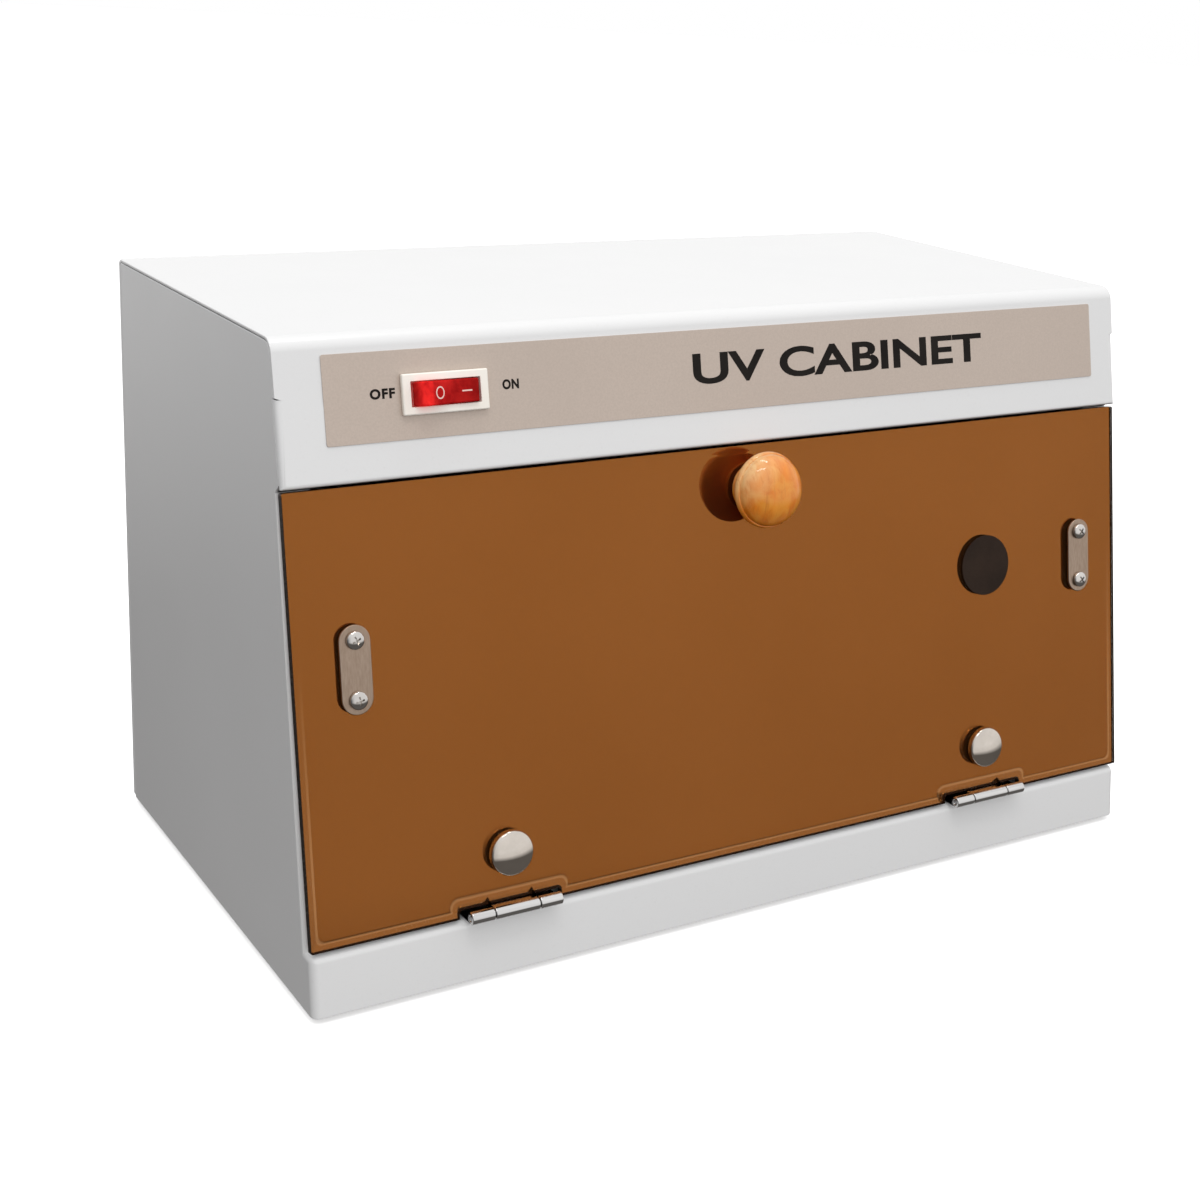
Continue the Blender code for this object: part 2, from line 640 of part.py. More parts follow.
def make_switch(looks, hood, rocker_axis):
    """The snap-in housing, two blades behind it, and the rocker standing at ON."""
    x, up = SWITCH_AT
    back = -LABEL_THICK - BEZEL_LIFT
    face = back - BEZEL_THICK
    bw, bh = (size / 2 for size in BEZEL_SIZE)
    cw, ch = (size / 2 for size in SWITCH_BODY)
    ww, wh = (size / 2 for size in WINDOW_SIZE)
    housing = box_part("switch_housing", (x - bw, face, up - bh), (x + bw, back, up + bh),
                       looks["cream_plastic"], hood, 0.0005)
    join(housing, box_part("switch_barrel", (x - cw, back - 0.001, up - ch),
                           (x + cw, back + SWITCH_BODY_DEPTH, up + ch), None, hood))
    cut(housing, box_part("switch_window", (x - ww, face - 0.002, up - wh),
                          (x + ww, face + WINDOW_DEPTH, up + wh), None, hood))
    for number, dx in enumerate((-BLADE_OFFSET, BLADE_OFFSET), 1):
        start = back + SWITCH_BODY_DEPTH + GAP
        box_part(f"switch_terminal_{number}", (x + dx - 0.0004, start, up - 0.0024),
                 (x + dx + 0.0004, start + 0.007, up + 0.0024), looks["brass"], hood)
    pivot = ROCKER_PIVOT_DEPTH
    ridge = (0.0102, 0.0036 + pivot)
    end = (0.0122, 0)
    heel = (0.0090, -0.0025)
    half = [ridge, end, heel]
    profile = [(-u, w) for u, w in half] + [(u, w) for u, w in reversed(half)]
    profile.append((0, 0.0014 + pivot))
    bm = bmesh.new()
    tall = WINDOW_SIZE[1] / 2 - GAP
    low = [bm.verts.new((u, -w, -tall)) for u, w in profile]
    high = [bm.verts.new((u, -w, tall)) for u, w in profile]
    bm.faces.new(low)
    bm.faces.new(high)
    for i in range(len(profile)):
        j = (i + 1) % len(profile)
        bm.faces.new((low[i], low[j], high[j], high[i]))
    add_object("switch_rocker", bm, looks["red_lens"], rocker_axis,
               turn=(0, 0, ROCKER_TILT))


# ---------------------------------------------------------------- door


def door_plane():
    """Where the door's front face lies behind the hinge axis, and where its lower edge is."""
    forward = DOOR_LOW_DEPTH - HINGE_DEPTH
    rise = DOOR_LOW_Z - HINGE_Z
    behind = -(forward * math.cos(DOOR_TILT) + rise * math.sin(DOOR_TILT))
    up = rise * math.cos(DOOR_TILT) - forward * math.sin(DOOR_TILT)
    return behind, up


def door_outline():
    """The sheet's outline, with a notch around each hinge barrel."""
    half = DOOR_WIDTH / 2
    points = [(-half, 0)]
    for _, s in SIDES:
        left = s * HINGE_X - NOTCH_WIDTH / 2
        right = s * HINGE_X + NOTCH_WIDTH / 2
        points += [(left, 0), (left, NOTCH_HEIGHT - NOTCH_CORNER),
                   (left + NOTCH_CORNER, NOTCH_HEIGHT), (right - NOTCH_CORNER, NOTCH_HEIGHT),
                   (right, NOTCH_HEIGHT - NOTCH_CORNER), (right, 0)]
    points += [(half, 0), (half, DOOR_LENGTH), (-half, DOOR_LENGTH)]
    return points


def make_door(looks, swing):
    behind, low = door_plane()
    door = outline_part("door_panel", door_outline(), DOOR_THICK, looks["amber_acrylic"], swing,
                        (0, behind, low))
    middle = behind + DOOR_THICK / 2
    screws = [(s * PLATE_X, middle, low + PLATE_UP_DOOR + e * PLATE_SCREW_SPACING / 2)
              for _, s in SIDES for e in (-1, 1)]
    cut(door, cylinders_helper("plate_holes", screws, SCREW_HOLE_RADIUS + 0.0001, 0.008, "Y", swing))
    bolts = [(s * HINGE_X, middle, low + CAP_UP_DOOR) for _, s in SIDES]
    bolts.append((KNOB_X, middle, low + KNOB_UP_DOOR))
    cut(door, cylinders_helper("bolt_holes", bolts, BOLT_HOLE_RADIUS, 0.008, "Y", swing))
    make_knob(looks, swing, behind, low)
    make_plates(looks, swing, behind, low)
    turned_part("inspection_disc", [(0, 0), (DISC_RADIUS, 0), (DISC_RADIUS, 0.0003), (0, 0.0003)],
                looks["brown_film"], swing, (DISC_X, behind - 0.0001, low + DISC_UP_DOOR),
                (math.pi / 2, 0, 0), steps=40)


def make_knob(looks, swing, behind, low):
    """A turned mushroom knob, held by a machine screw from behind the door."""
    r = KNOB_RADIUS
    profile = [(0, 0.0110), (0.0019, 0.0110), (0.0019, 0), (0.0090, 0), (0.0093, 0.0010),
               (0.0084, 0.0026), (0.0070, 0.0042), (0.0068, 0.0052), (0.0088, 0.0066),
               (0.0125, 0.0078), (r - 0.0002, 0.0088), (r, 0.0098), (r - 0.0005, 0.0110),
               (r - 0.0014, 0.0120), (r - 0.0023, 0.0138), (r - 0.0043, 0.0160),
               (r - 0.0078, 0.0178), (r - 0.0112, 0.0186), (0, 0.0190)]
    at = (KNOB_X, behind - GAP / 2, low + KNOB_UP_DOOR)
    turned_part("door_knob", profile, looks["varnished_wood"], swing, at, (math.pi / 2, 0, 0), 36)
    at = (KNOB_X, behind + DOOR_THICK + GAP, low + KNOB_UP_DOOR)
    pan_screw("knob_screw", 0.0038, 0.0024, 0.0016, DOOR_THICK + 0.009, looks["zinc_steel"],
              swing, at, (-math.pi / 2, 0, 0))


def make_plates(looks, swing, behind, low):
    """A rounded plate outside and a strike plate inside, clamped by two screws, at each side."""
    outline = rounded_outline(PLATE_WIDTH, PLATE_LENGTH, PLATE_WIDTH * 0.499, 8)
    for side, s in SIDES:
        screws = [(s * PLATE_X, behind, low + PLATE_UP_DOOR + e * PLATE_SCREW_SPACING / 2)
                  for e in (-1, 1)]
        layers = ((f"outer_plate_{side}", behind - PLATE_THICK - GAP / 2, PLATE_THICK),
                  (f"strike_plate_{side}", behind + DOOR_THICK + GAP / 2, STRIKE_THICK))
        for name, front, thick in layers:
            plate = outline_part(name, outline, thick, looks["nickel"], swing,
                                 (s * PLATE_X, front, low + PLATE_UP_DOOR))
            cut(plate, cylinders_helper(name + "_holes", screws, SCREW_HOLE_RADIUS, 0.012, "Y",
                                        swing))
        for end, at in zip(("low", "high"), screws):
            head = (at[0], behind - PLATE_THICK - GAP, at[2])
            pan_screw(f"plate_screw_{end}_{side}", 0.0031, 0.0019, SHANK_RADIUS,
                      DOOR_THICK + 0.0020, looks["chrome"], swing, head, (math.pi / 2, 0, 0))


def make_hinges(looks, swing):
    behind, low = door_plane()
    for side, s in SIDES:
        make_hinge_cap(looks, swing, side, s, behind, low)
        make_door_leaf(looks["chrome"], swing, side, s, behind, low)
        make_base_leaf(looks, side, s)


def make_hinge_cap(looks, swing, side, s, behind, low):
    """A domed cap with a stud through the door, and the nut that clamps the leaf on it."""
    r = CAP_RADIUS
    profile = [(0, -0.0082), (0.0019, -0.0082), (0.0019, 0), (r - 0.0004, 0), (r, 0.0005),
               (r, 0.0016), (r * 0.95, 0.0025), (r * 0.80, 0.0034), (r * 0.55, 0.0041),
               (r * 0.28, 0.0044), (0, 0.0045)]
    at = (s * HINGE_X, behind - GAP / 2, low + CAP_UP_DOOR)
    turned_part(f"hinge_cap_{side}", profile, looks["chrome"], swing, at, (math.pi / 2, 0, 0), 28)
    leaf_back = behind + DOOR_THICK + GAP / 2 + LEAF_THICK
    profile = [(0.0024, 0), (0.0040, 0), (0.0040, 0.0028), (0.0024, 0.0028)]
    turned_part(f"hinge_nut_{side}", profile, looks["zinc_steel"], swing,
                (s * HINGE_X, leaf_back + GAP / 2, low + CAP_UP_DOOR), (-math.pi / 2, 0, 0), 6)


def knuckle_helper(name, centre, length, parent):
    bm = bmesh.new()
    add_cylinder(bm, centre, BARREL_RADIUS, length, "X", 20)
    return add_object(name, bm, None, parent)


def make_door_leaf(look, swing, side, s, behind, low):
    """The middle knuckle, and an L-shaped leaf through the notch to the door's back."""
    x = s * HINGE_X
    wide = MIDDLE_KNUCKLE / 2 - GAP
    front = behind + DOOR_THICK + GAP / 2
    level = BARREL_RADIUS - LEAF_THICK
    leaf = cylinder_part(f"hinge_door_leaf_{side}", (x, 0, 0), BARREL_RADIUS, 2 * wide, look,
                         swing, "X", 20)
    join(leaf, box_part(f"leaf_neck_{side}", (x - wide, 0.0004, level),
                        (x + wide, front + LEAF_THICK, BARREL_RADIUS - 0.0001), None, swing))
    outline = [(-wide, -0.0002), (wide, -0.0002), (wide, 0.0055), (0.0145, 0.0070),
               (0.0145, 0.0200), (0.0085, 0.0262), (-0.0085, 0.0262), (-0.0145, 0.0200),
               (-0.0145, 0.0070), (-wide, 0.0055)]
    join(leaf, outline_part(f"leaf_plate_{side}", outline, LEAF_THICK, None, swing,
                            (x, front, level)))
    cut(leaf, cylinders_helper(f"leaf_bolt_{side}", [(x, front, low + CAP_UP_DOOR)],
                               BOLT_HOLE_RADIUS, 0.008, "Y", swing))
    cut(leaf, cylinders_helper(f"leaf_bore_{side}", [(x, 0, 0)], PIN_RADIUS + BORE_PLAY, 0.05,
                               "X", swing, 12))


def make_base_leaf(looks, side, s):
    """The two outer knuckles and the plate that runs back over the ledge."""
    x = s * HINGE_X
    half = BARREL_LENGTH / 2
    outer = (BARREL_LENGTH - MIDDLE_KNUCKLE) / 2
    bottom = HINGE_Z - BARREL_RADIUS
    bm = bmesh.new()
    cut_depth = HINGE_DEPTH - BARREL_RADIUS - 0.0005
    rear = LEDGE_BACK_DEPTH + 0.0005
    outline = [(-half, HINGE_DEPTH), (-half, rear), (half, rear), (half, HINGE_DEPTH),
               (half - outer, HINGE_DEPTH), (half - outer, cut_depth),
               (outer - half, cut_depth), (outer - half, HINGE_DEPTH)]
    face = bm.faces.new([bm.verts.new(place(x + dx, depth, bottom + 0.0001))
                         for dx, depth in outline])
    grown = bmesh.ops.extrude_face_region(bm, geom=[face])["geom"]
    moved = [item for item in grown if isinstance(item, bmesh.types.BMVert)]
    bmesh.ops.translate(bm, vec=(0, 0, LEAF_THICK - 0.0001), verts=moved)
    leaf = add_object(f"hinge_base_leaf_{side}", bm, looks["chrome"])
    for end in (-1, 1):
        centre = place(x + end * (half - outer / 2), HINGE_DEPTH, HINGE_Z)
        join(leaf, knuckle_helper(f"knuckle_{side}_{end + 1}", centre, outer, None))
    cut(leaf, cylinders_helper(f"base_bore_{side}", [place(x, HINGE_DEPTH, HINGE_Z)],
                               PIN_RADIUS + BORE_PLAY, 0.05, "X", None, 12))
    screw_at = place(x, LEDGE_BACK_DEPTH + 0.005, bottom + LEAF_THICK + GAP / 2)
    cut(leaf, cylinders_helper(f"base_screw_hole_{side}", [screw_at], SCREW_HOLE_RADIUS, 0.006,
                               "Z"))
    cylinder_part(f"hinge_pin_{side}", place(x, HINGE_DEPTH, HINGE_Z), PIN_RADIUS,
                  BARREL_LENGTH - 0.0004, looks["zinc_steel"], None, "X", 12)
    pan_screw(f"hinge_base_screw_{side}", 0.0028, 0.0012, SHANK_RADIUS, 0.005,
              looks["zinc_steel"], None, screw_at, (0, 0, 0))


# ---------------------------------------------------------------- inside


def make_catches(looks, rest):
    """Magnetic catches on the side walls, with their poles just behind the strike plates."""
    behind, low = door_plane()
    pole = behind + DOOR_THICK + GAP / 2 + STRIKE_THICK + GAP
    shell = pole + 0.0008
    up = low + PLATE_UP_DOOR
    for side, s in SIDES:
        x = s * PLATE_X
        inner = x - s * 0.0062
        outer = x + s * 0.0062
        wall = s * (WIDTH / 2 - SHEET - GAP)
        body = box_part(f"catch_housing_{side}", (min(inner, outer), shell, up - 0.018),
                        (max(inner, outer), shell + 0.016, up + 0.018), looks["brown_plastic"],
                        rest, 0.0006)
        start = x + s * 0.004
        join(body, box_part(f"catch_ear_{side}", (min(start, wall), shell + 0.012, up - 0.014),
                            (max(start, wall), shell + 0.0155, up + 0.014), None, rest))
        cut(body, box_part(f"catch_pocket_{side}", (x - 0.0042, pole - 0.002, up - 0.0142),
                           (x + 0.0042, shell + 0.010, up + 0.0142), None, rest))
        box_part(f"catch_magnet_{side}", (x - 0.0038, pole, up - 0.0138),
                 (x + 0.0038, shell + 0.0096, up + 0.0138), looks["ferrite"], rest)


def make_lamp(looks):
    """The germicidal tube, its two end caps with pins, and the two holders."""
    centre = place(0, LAMP_DEPTH, LAMP_Z)
    cylinder_part("lamp_tube", centre, LAMP_RADIUS, 2 * GLASS_HALF, looks["quartz_glass"],
                  None, "X", 24)
    for side, s in SIDES:
        start = GLASS_HALF + GAP
        middle = centre + Vector((s * (start + CAP_LENGTH / 2), 0, 0))
        cap = cylinder_part(f"lamp_cap_{side}", middle, LAMP_RADIUS + 0.0002, CAP_LENGTH,
                            looks["aluminium"], None, "X", 24)
        bm = bmesh.new()
        for dy in (-LAMP_PIN_OFFSET, LAMP_PIN_OFFSET):
            at = centre + Vector((s * (start + CAP_LENGTH + LAMP_PIN_LENGTH / 2 - 0.0005), dy, 0))
            add_cylinder(bm, at, 0.0012, LAMP_PIN_LENGTH + 0.001, "X", 10)
        join(cap, add_object(f"lamp_pins_{side}", bm, None))
        near = start + CAP_LENGTH + GAP
        left, right = sorted((s * near, s * (near + HOLDER_THICK)))
        low = centre + Vector((left, -0.010, -0.012))
        high = Vector((right, centre.y + 0.010, CEILING_Z + FOOT_DROP - GAP))
        holder = box_part(f"lamp_holder_{side}", low, high, looks["white_plastic"], None, 0.0012)
        bm = bmesh.new()
        mouth = centre + Vector((s * (near + 0.003), 0, 0))
        add_cylinder(bm, mouth, 0.0048, 0.0116, "X", 20)
        cut(holder, add_object(f"holder_rotor_{side}", bm, None))
        cut(holder, box_part(f"holder_slot_{side}", mouth + Vector((-0.0058, -0.0016, -0.020)),
                             mouth + Vector((0.0058, 0.0016, 0)), None))


def make_ballast(looks):
    """A small choke: laminated core on two ears, and its winding through the windows."""
    base = CEILING_Z + SHEET + GAP
    x, depth = BALLAST_AT
    across, deep = CORE_HALF
    core = box_part("ballast_core", place(x - across, depth + deep, base),
                    place(x + across, depth - deep, base + CORE_HEIGHT), looks["core_steel"])
    join(core, box_part("ballast_ears", place(x - EAR_REACH, depth + deep - 0.001, base),
                        place(x + EAR_REACH, depth - deep + 0.001, base + EAR_THICK), None))
    middle = base + CORE_HEIGHT / 2 + 0.0005
    bm = bmesh.new()
    for s in (-1, 1):
        edges = sorted((x + s * 0.0055, x + s * 0.0145))
        add_box(bm, place(edges[0], depth + 0.02, middle - 0.008),
                place(edges[1], depth - 0.02, middle + 0.008))
    cut(core, add_object("ballast_windows", bm, None))
    holes = [place(x + s * (EAR_REACH - 0.005), depth, base) for s in (-1, 1)]
    cut(core, cylinders_helper("ballast_holes", holes, SCREW_HOLE_RADIUS, 0.01, "Z"))
    coil = box_part("ballast_coil", place(x - 0.0141, depth + 0.019, middle - 0.0076),
                    place(x + 0.0141, depth - 0.019, middle + 0.0076), looks["winding_tape"])
    cut(coil, box_part("coil_bore", place(x - 0.0059, depth + 0.0124, middle - 0.02),
                       place(x + 0.0059, depth - 0.0124, middle + 0.02), None))


def make_starter(looks):
    """The glow starter lies in a socket on the ceiling panel."""
    base = CEILING_Z + SHEET + GAP
    x, depth = STARTER_AT
    r = STARTER_RADIUS
    centre = place(x, depth, base + SOCKET_HALF)
    holder = box_part("starter_holder", place(x - 0.030, depth + SOCKET_HALF, base),
                      place(x - 0.014, depth - SOCKET_HALF, base + 2 * SOCKET_HALF),
                      looks["white_plastic"], None, 0.0008)
    cut(holder, cylinders_helper("starter_socket", [centre + Vector((-0.016, 0, 0))],
                                 r + 0.0004, 0.012, "X", None, 24))
    profile = [(0, -0.0215), (r - 0.0007, -0.0215), (r, -0.0205), (r, 0.0130),
               (r - 0.0010, 0.0142), (0, 0.0142)]
    turned_part("starter", profile, looks["aluminium"], at=centre, turn=(0, math.pi / 2, 0))


def smooth_path(points, per_span=5):
    """A Catmull-Rom curve through the points."""
    ends = [2 * points[0] - points[1], *points, 2 * points[-1] - points[-2]]
    path = []
    for a, b, c, d in zip(ends, ends[1:], ends[2:], ends[3:]):
        for i in range(per_span):
            t = i / per_span
            path.append(0.5 * (2 * b + (c - a) * t + (2 * a - 5 * b + 4 * c - d) * t ** 2
                               + (3 * b - a - 3 * c + d) * t ** 3))
    return [*path, points[-1]]


def make_wire(name, route, look):
    points = smooth_path([place(*at) for at in route])
    curve = bpy.data.curves.new(name, "CURVE")
    curve.dimensions = "3D"
    curve.bevel_depth = WIRE_RADIUS
    curve.bevel_resolution = 1
    curve.use_fill_caps = True
    curve.materials.append(look)
    spline = curve.splines.new("POLY")
    spline.points.add(len(points) - 1)
    for target, point in zip(spline.points, points):
        target.co = (*point, 1)
    made = bpy.data.objects.new(name, curve)
    bpy.context.scene.collection.objects.link(made)


def make_wiring(look):
    """Leads between switch, choke, starter and lamp holders, all above the ceiling panel."""
    floor = CEILING_Z + SHEET + 0.0024
    blade = SWITCH_AT[0] + BLADE_OFFSET
    make_wire("wire_switch_to_ballast", [
        (blade, 0.139, 0.2005), (blade, 0.130, 0.1975), (-0.090, 0.116, floor),
        (-0.020, 0.112, floor), (0.030, 0.098, floor), (0.052, 0.0805, 0.200)], look)
    make_wire("wire_ballast_to_lamp", [
        (0.068, 0.0805, 0.200), (0.082, 0.098, floor), (0.115, 0.106, floor),
        (0.145, 0.103, floor + 0.003), (0.152, 0.100, 0.1890), (0.152, 0.0975, 0.184)], look)
    make_wire("wire_starter_to_lamp", [
        (-0.1005, 0.045, 0.203), (-0.112, 0.052, 0.197), (-0.125, 0.075, floor),
        (-0.145, 0.097, floor + 0.003), (-0.152, 0.100, 0.1890), (-0.152, 0.0975, 0.184)], look)


def make_rack(look):
    """A loose chrome rack: a round frame on four short legs, with cross wires."""
    x = RACK_HALF_WIDTH
    rear, front = RACK_DEPTHS
    corner = RACK_CORNER
    loop = []
    for sx, sd, start in ((1, 1, 0), (-1, 1, 1), (-1, -1, 2), (1, -1, 3)):
        cx = sx * (x - corner)
        cd = (front if sd > 0 else rear) - sd * corner
        for i in range(5):
            angle = (start + i / 4) * math.pi / 2
            loop.append(place(cx + corner * math.cos(angle), cd + corner * math.sin(angle),
                              RACK_Z))
    bm = bmesh.new()
    rings = []
    centre = place(0, (front + rear) / 2, RACK_Z)
    for i, point in enumerate(loop):
        ahead = (loop[(i + 1) % len(loop)] - loop[i - 1]).normalized()
        side = ahead.cross(Vector((0, 0, 1)))
        if side.dot(point - centre) < 0:
            side.negate()
        angles = [2 * math.pi * k / 8 for k in range(8)]
        rings.append([bm.verts.new(point + RACK_FRAME_RADIUS * (math.cos(a) * side
                                                                + math.sin(a) * Vector((0, 0, 1))))
                      for a in angles])
    for a, b in zip(rings, rings[1:] + rings[:1]):
        for k in range(8):
            bm.faces.new((a[k], a[(k + 1) % 8], b[(k + 1) % 8], b[k]))
    rack = add_object("wire_rack", bm, look)
    bm = bmesh.new()
    length = front - rear
    lift = RACK_Z + 0.0006
    for i in range(RACK_WIRES):
        at = place((2 * (i + 0.5) / RACK_WIRES - 1) * (x - 0.004), (front + rear) / 2, lift)
        add_cylinder(bm, at, RACK_WIRE_RADIUS, length, "Y", 6)
    join(rack, add_object("rack_cross_wires", bm, None))
    bm = bmesh.new()
    bottom = SHEET + GAP
    for sx in (-1, 1):
        for depth in (rear + RACK_LEG_INSET, front - RACK_LEG_INSET):
            at = place(sx * x, depth, (RACK_Z + bottom) / 2)
            add_cylinder(bm, at, RACK_FRAME_RADIUS * 0.9, RACK_Z - bottom, "Z", 8)
    join(rack, add_object("rack_legs", bm, None))


# ---------------------------------------------------------------- assembly


def clear_scene():
    for old in list(bpy.data.objects):
        bpy.data.objects.remove(old, do_unlink=True)


def build():
    clear_scene()
    looks = make_materials()
    hood = frame_empty("hood_face", place(0, HOOD_LOW_DEPTH, HOOD_LOW_Z), HOOD_TILT)
    swing = frame_empty("door_hinge", place(0, HINGE_DEPTH, HINGE_Z), DOOR_TILT)
    rest = frame_empty("closed_door_plane", place(0, HINGE_DEPTH, HINGE_Z), DOOR_TILT)
    rocker_axis = frame_empty("rocker_axis", (0, 0, 0), 0)
    rocker_axis.parent = hood
    rocker_axis.location = (SWITCH_AT[0], ROCKER_PIVOT_DEPTH - LABEL_THICK - BEZEL_LIFT
                            - BEZEL_THICK, SWITCH_AT[1])
    bpy.context.view_layer.update()
    make_body(looks["white_paint"])
    make_cover(looks["white_paint"], hood)
    make_rear_panel(looks["white_paint"])
    make_ceiling(looks["zinc_steel"])
    make_reflector(looks["aluminium"])
    make_feet(looks["black_rubber"])
    make_rear_screws(looks["zinc_steel"])
    make_bushing(looks["black_rubber"])
    make_label(looks["label_film"], hood)
    make_switch(looks, hood, rocker_axis)
    make_door(looks, swing)
    make_hinges(looks, swing)
    make_catches(looks, rest)
    make_lamp(looks)
    make_ballast(looks)
    make_starter(looks)
    make_wiring(looks["grey_cable"])
    make_rack(looks["chrome"])


build()
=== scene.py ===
"""Looks of the countertop ultraviolet sterilizer cabinet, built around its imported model."""

import json
import math

import bmesh
import bpy
from mathutils import Matrix, Vector


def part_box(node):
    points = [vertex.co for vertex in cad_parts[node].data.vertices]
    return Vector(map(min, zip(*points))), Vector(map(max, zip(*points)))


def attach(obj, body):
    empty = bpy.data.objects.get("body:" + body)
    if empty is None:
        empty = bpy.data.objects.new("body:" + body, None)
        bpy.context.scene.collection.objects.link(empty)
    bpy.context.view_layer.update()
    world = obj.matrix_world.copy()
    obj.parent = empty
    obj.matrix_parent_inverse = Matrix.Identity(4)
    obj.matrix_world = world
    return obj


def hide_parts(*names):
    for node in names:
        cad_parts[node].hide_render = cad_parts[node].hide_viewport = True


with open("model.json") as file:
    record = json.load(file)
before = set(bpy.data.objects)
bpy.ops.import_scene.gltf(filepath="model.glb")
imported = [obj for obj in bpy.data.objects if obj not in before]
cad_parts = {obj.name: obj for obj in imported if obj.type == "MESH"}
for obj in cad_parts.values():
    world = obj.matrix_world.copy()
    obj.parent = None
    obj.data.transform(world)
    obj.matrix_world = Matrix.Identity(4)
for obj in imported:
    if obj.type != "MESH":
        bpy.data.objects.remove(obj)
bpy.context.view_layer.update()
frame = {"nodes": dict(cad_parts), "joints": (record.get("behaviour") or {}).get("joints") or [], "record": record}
nodes = frame["nodes"]
body_of = {node: body for body, members in frame["record"]["behaviour"]["bodies"].items()
           for node in members}
joints = {joint["name"]: joint for joint in frame["joints"]}

# The door's plane: its hinge line, its lean, and where its front face and lower edge lie
DOOR_TILT = math.radians(9.5)
DOOR_BEHIND = 0.003075
DOOR_LOW = -0.000803
DOOR_WIDTH = 0.3596
DOOR_LENGTH = 0.1519
DOOR_THICK = 0.003
FILM_DEPTH = 0.0013
HINGE_X = 0.1066
NOTCH_WIDTH = 0.0395
NOTCH_HEIGHT = 0.0032
CAP_UP = 0.0202
DOME_RADIUS = 0.01772
KNOB_X = -0.0012
KNOB_UP = 0.1362
PLATE_X = 0.1588
PLATE_UP = 0.0922
PLATE_SCREW_SPACING = 0.020
GAP = 0.0003

# How far up and to the left the knob's wood turns paler with a painted sheen, along (-1, 0, 1)
PAINTED_SHEEN_ALONG = (-0.707, 0, 0.707)
PAINTED_SHEEN_FROM = 0.1190
PAINTED_SHEEN_TO = 0.1280

# The hood's face, and the fittings on it
HOOD_TILT = math.atan2(0.0100, 0.0473)
HOOD_LOW = (0, -0.07165, 0.1757)
LABEL_FACE = 0.0004
SWITCH_AT = (-0.1221, 0.0275)
ROCKER_TILT = math.radians(11)
ROCKER_HALF = 0.0118
ROCKER_RIDGE = (0.0102, 0.0061)
ROCKER_DIP = 0.0039
INK_OUT = LABEL_FACE + 0.00002
MARK_RISE = 0.00006

# The camera fitted to the photo, in the units of its 1200-unit frame, and its turn in degrees
FRAME_SIZE = 1200
FOCAL = 1926.0
FRAME_CENTRE = (699.0, 501.0)
CAMERA_AT = (-0.39026, -0.62976, 0.34489)
CAMERA_TURN = (-33.352, 15.781, 3.177)

# The studio: its floor, the wall that only the camera sees, and the two strip lights above
FLOOR_SIZE = 60
BACKDROP_RADIUS = 8
BACKDROP_SIDES = 64
KEY_COLOUR = (1.0, 0.985, 0.96)
KEY_LIGHTS = (("key_back", (0.24, 0.12, 1.72)), ("key_front", (-0.29, -0.67, 1.61)))

door_frame = (Matrix.Translation(joints["door_swing"]["pos_m"])
              @ Matrix.Rotation(-DOOR_TILT, 4, "X")
              @ Matrix.Translation((0, DOOR_BEHIND, DOOR_LOW)))
hood_frame = Matrix.Translation(HOOD_LOW) @ Matrix.Rotation(-HOOD_TILT, 4, "X")
OUTWARD = Matrix.Rotation(math.pi / 2, 4, "X")
INWARD = Matrix.Rotation(-math.pi / 2, 4, "X")


# ---------------------------------------------------------------- materials


def new_look(name, colour, rough, **sockets):
    """A Principled material: returns the material, its tree and its shader."""
    made = bpy.data.materials.new(name)
    made.use_nodes = True
    shader = made.node_tree.nodes["Principled BSDF"]
    shader.inputs["Base Color"].default_value = (*colour, 1)
    shader.inputs["Roughness"].default_value = rough
    for socket, value in sockets.items():
        shader.inputs[socket.replace("_", " ")].default_value = value
    return made, made.node_tree, shader


def object_coords(tree, stretch=(1, 1, 1), turn=(0, 0, 0)):
    coords = tree.nodes.new("ShaderNodeTexCoord")
    mapping = tree.nodes.new("ShaderNodeMapping")
    mapping.inputs["Scale"].default_value = stretch
    mapping.inputs["Rotation"].default_value = turn
    tree.links.new(coords.outputs["Object"], mapping.inputs["Vector"])
    return mapping.outputs["Vector"]


def object_axis(tree, axis):
    """The X, Y or Z coordinate in metres."""
    coords = tree.nodes.new("ShaderNodeTexCoord")
    axes = tree.nodes.new("ShaderNodeSeparateXYZ")
    tree.links.new(coords.outputs["Object"], axes.inputs["Vector"])
    return axes.outputs[axis]


def noise(tree, scale, detail=3.0, rough=0.5, stretch=(1, 1, 1), distortion=0.0):
    made = tree.nodes.new("ShaderNodeTexNoise")
    made.inputs["Scale"].default_value = scale
    made.inputs["Detail"].default_value = detail
    made.inputs["Roughness"].default_value = rough
    made.inputs["Distortion"].default_value = distortion
    tree.links.new(object_coords(tree, stretch), made.inputs["Vector"])
    return made.outputs["Fac"]


def spread(tree, value, low, high, start=0.0, end=1.0):
    """Maps a value from low..high to start..end, clamped."""
    made = tree.nodes.new("ShaderNodeMapRange")
    for socket, number in (("From Min", low), ("From Max", high), ("To Min", start),
                           ("To Max", end)):
        made.inputs[socket].default_value = number
    tree.links.new(value, made.inputs["Value"])
    return made.outputs["Result"]


def blend_colours(tree, share, first, second):
    """Mixes two colours; each may be a colour or a socket."""
    made = tree.nodes.new("ShaderNodeMix")
    made.data_type = "RGBA"
    tree.links.new(share, made.inputs["Factor"])
    for socket, colour in (("A", first), ("B", second)):
        target = [s for s in made.inputs if s.name == socket and s.type == "RGBA"][0]
        if isinstance(colour, tuple):
            target.default_value = (*colour, 1)
        else:
            tree.links.new(colour, target)
    return [s for s in made.outputs if s.type == "RGBA"][0]


def paint(tree, shader, colour):
    tree.links.new(colour, shader.inputs["Base Color"])


def roughen(tree, shader, value, low, high, start, end):
    tree.links.new(spread(tree, value, low, high, start, end), shader.inputs["Roughness"])


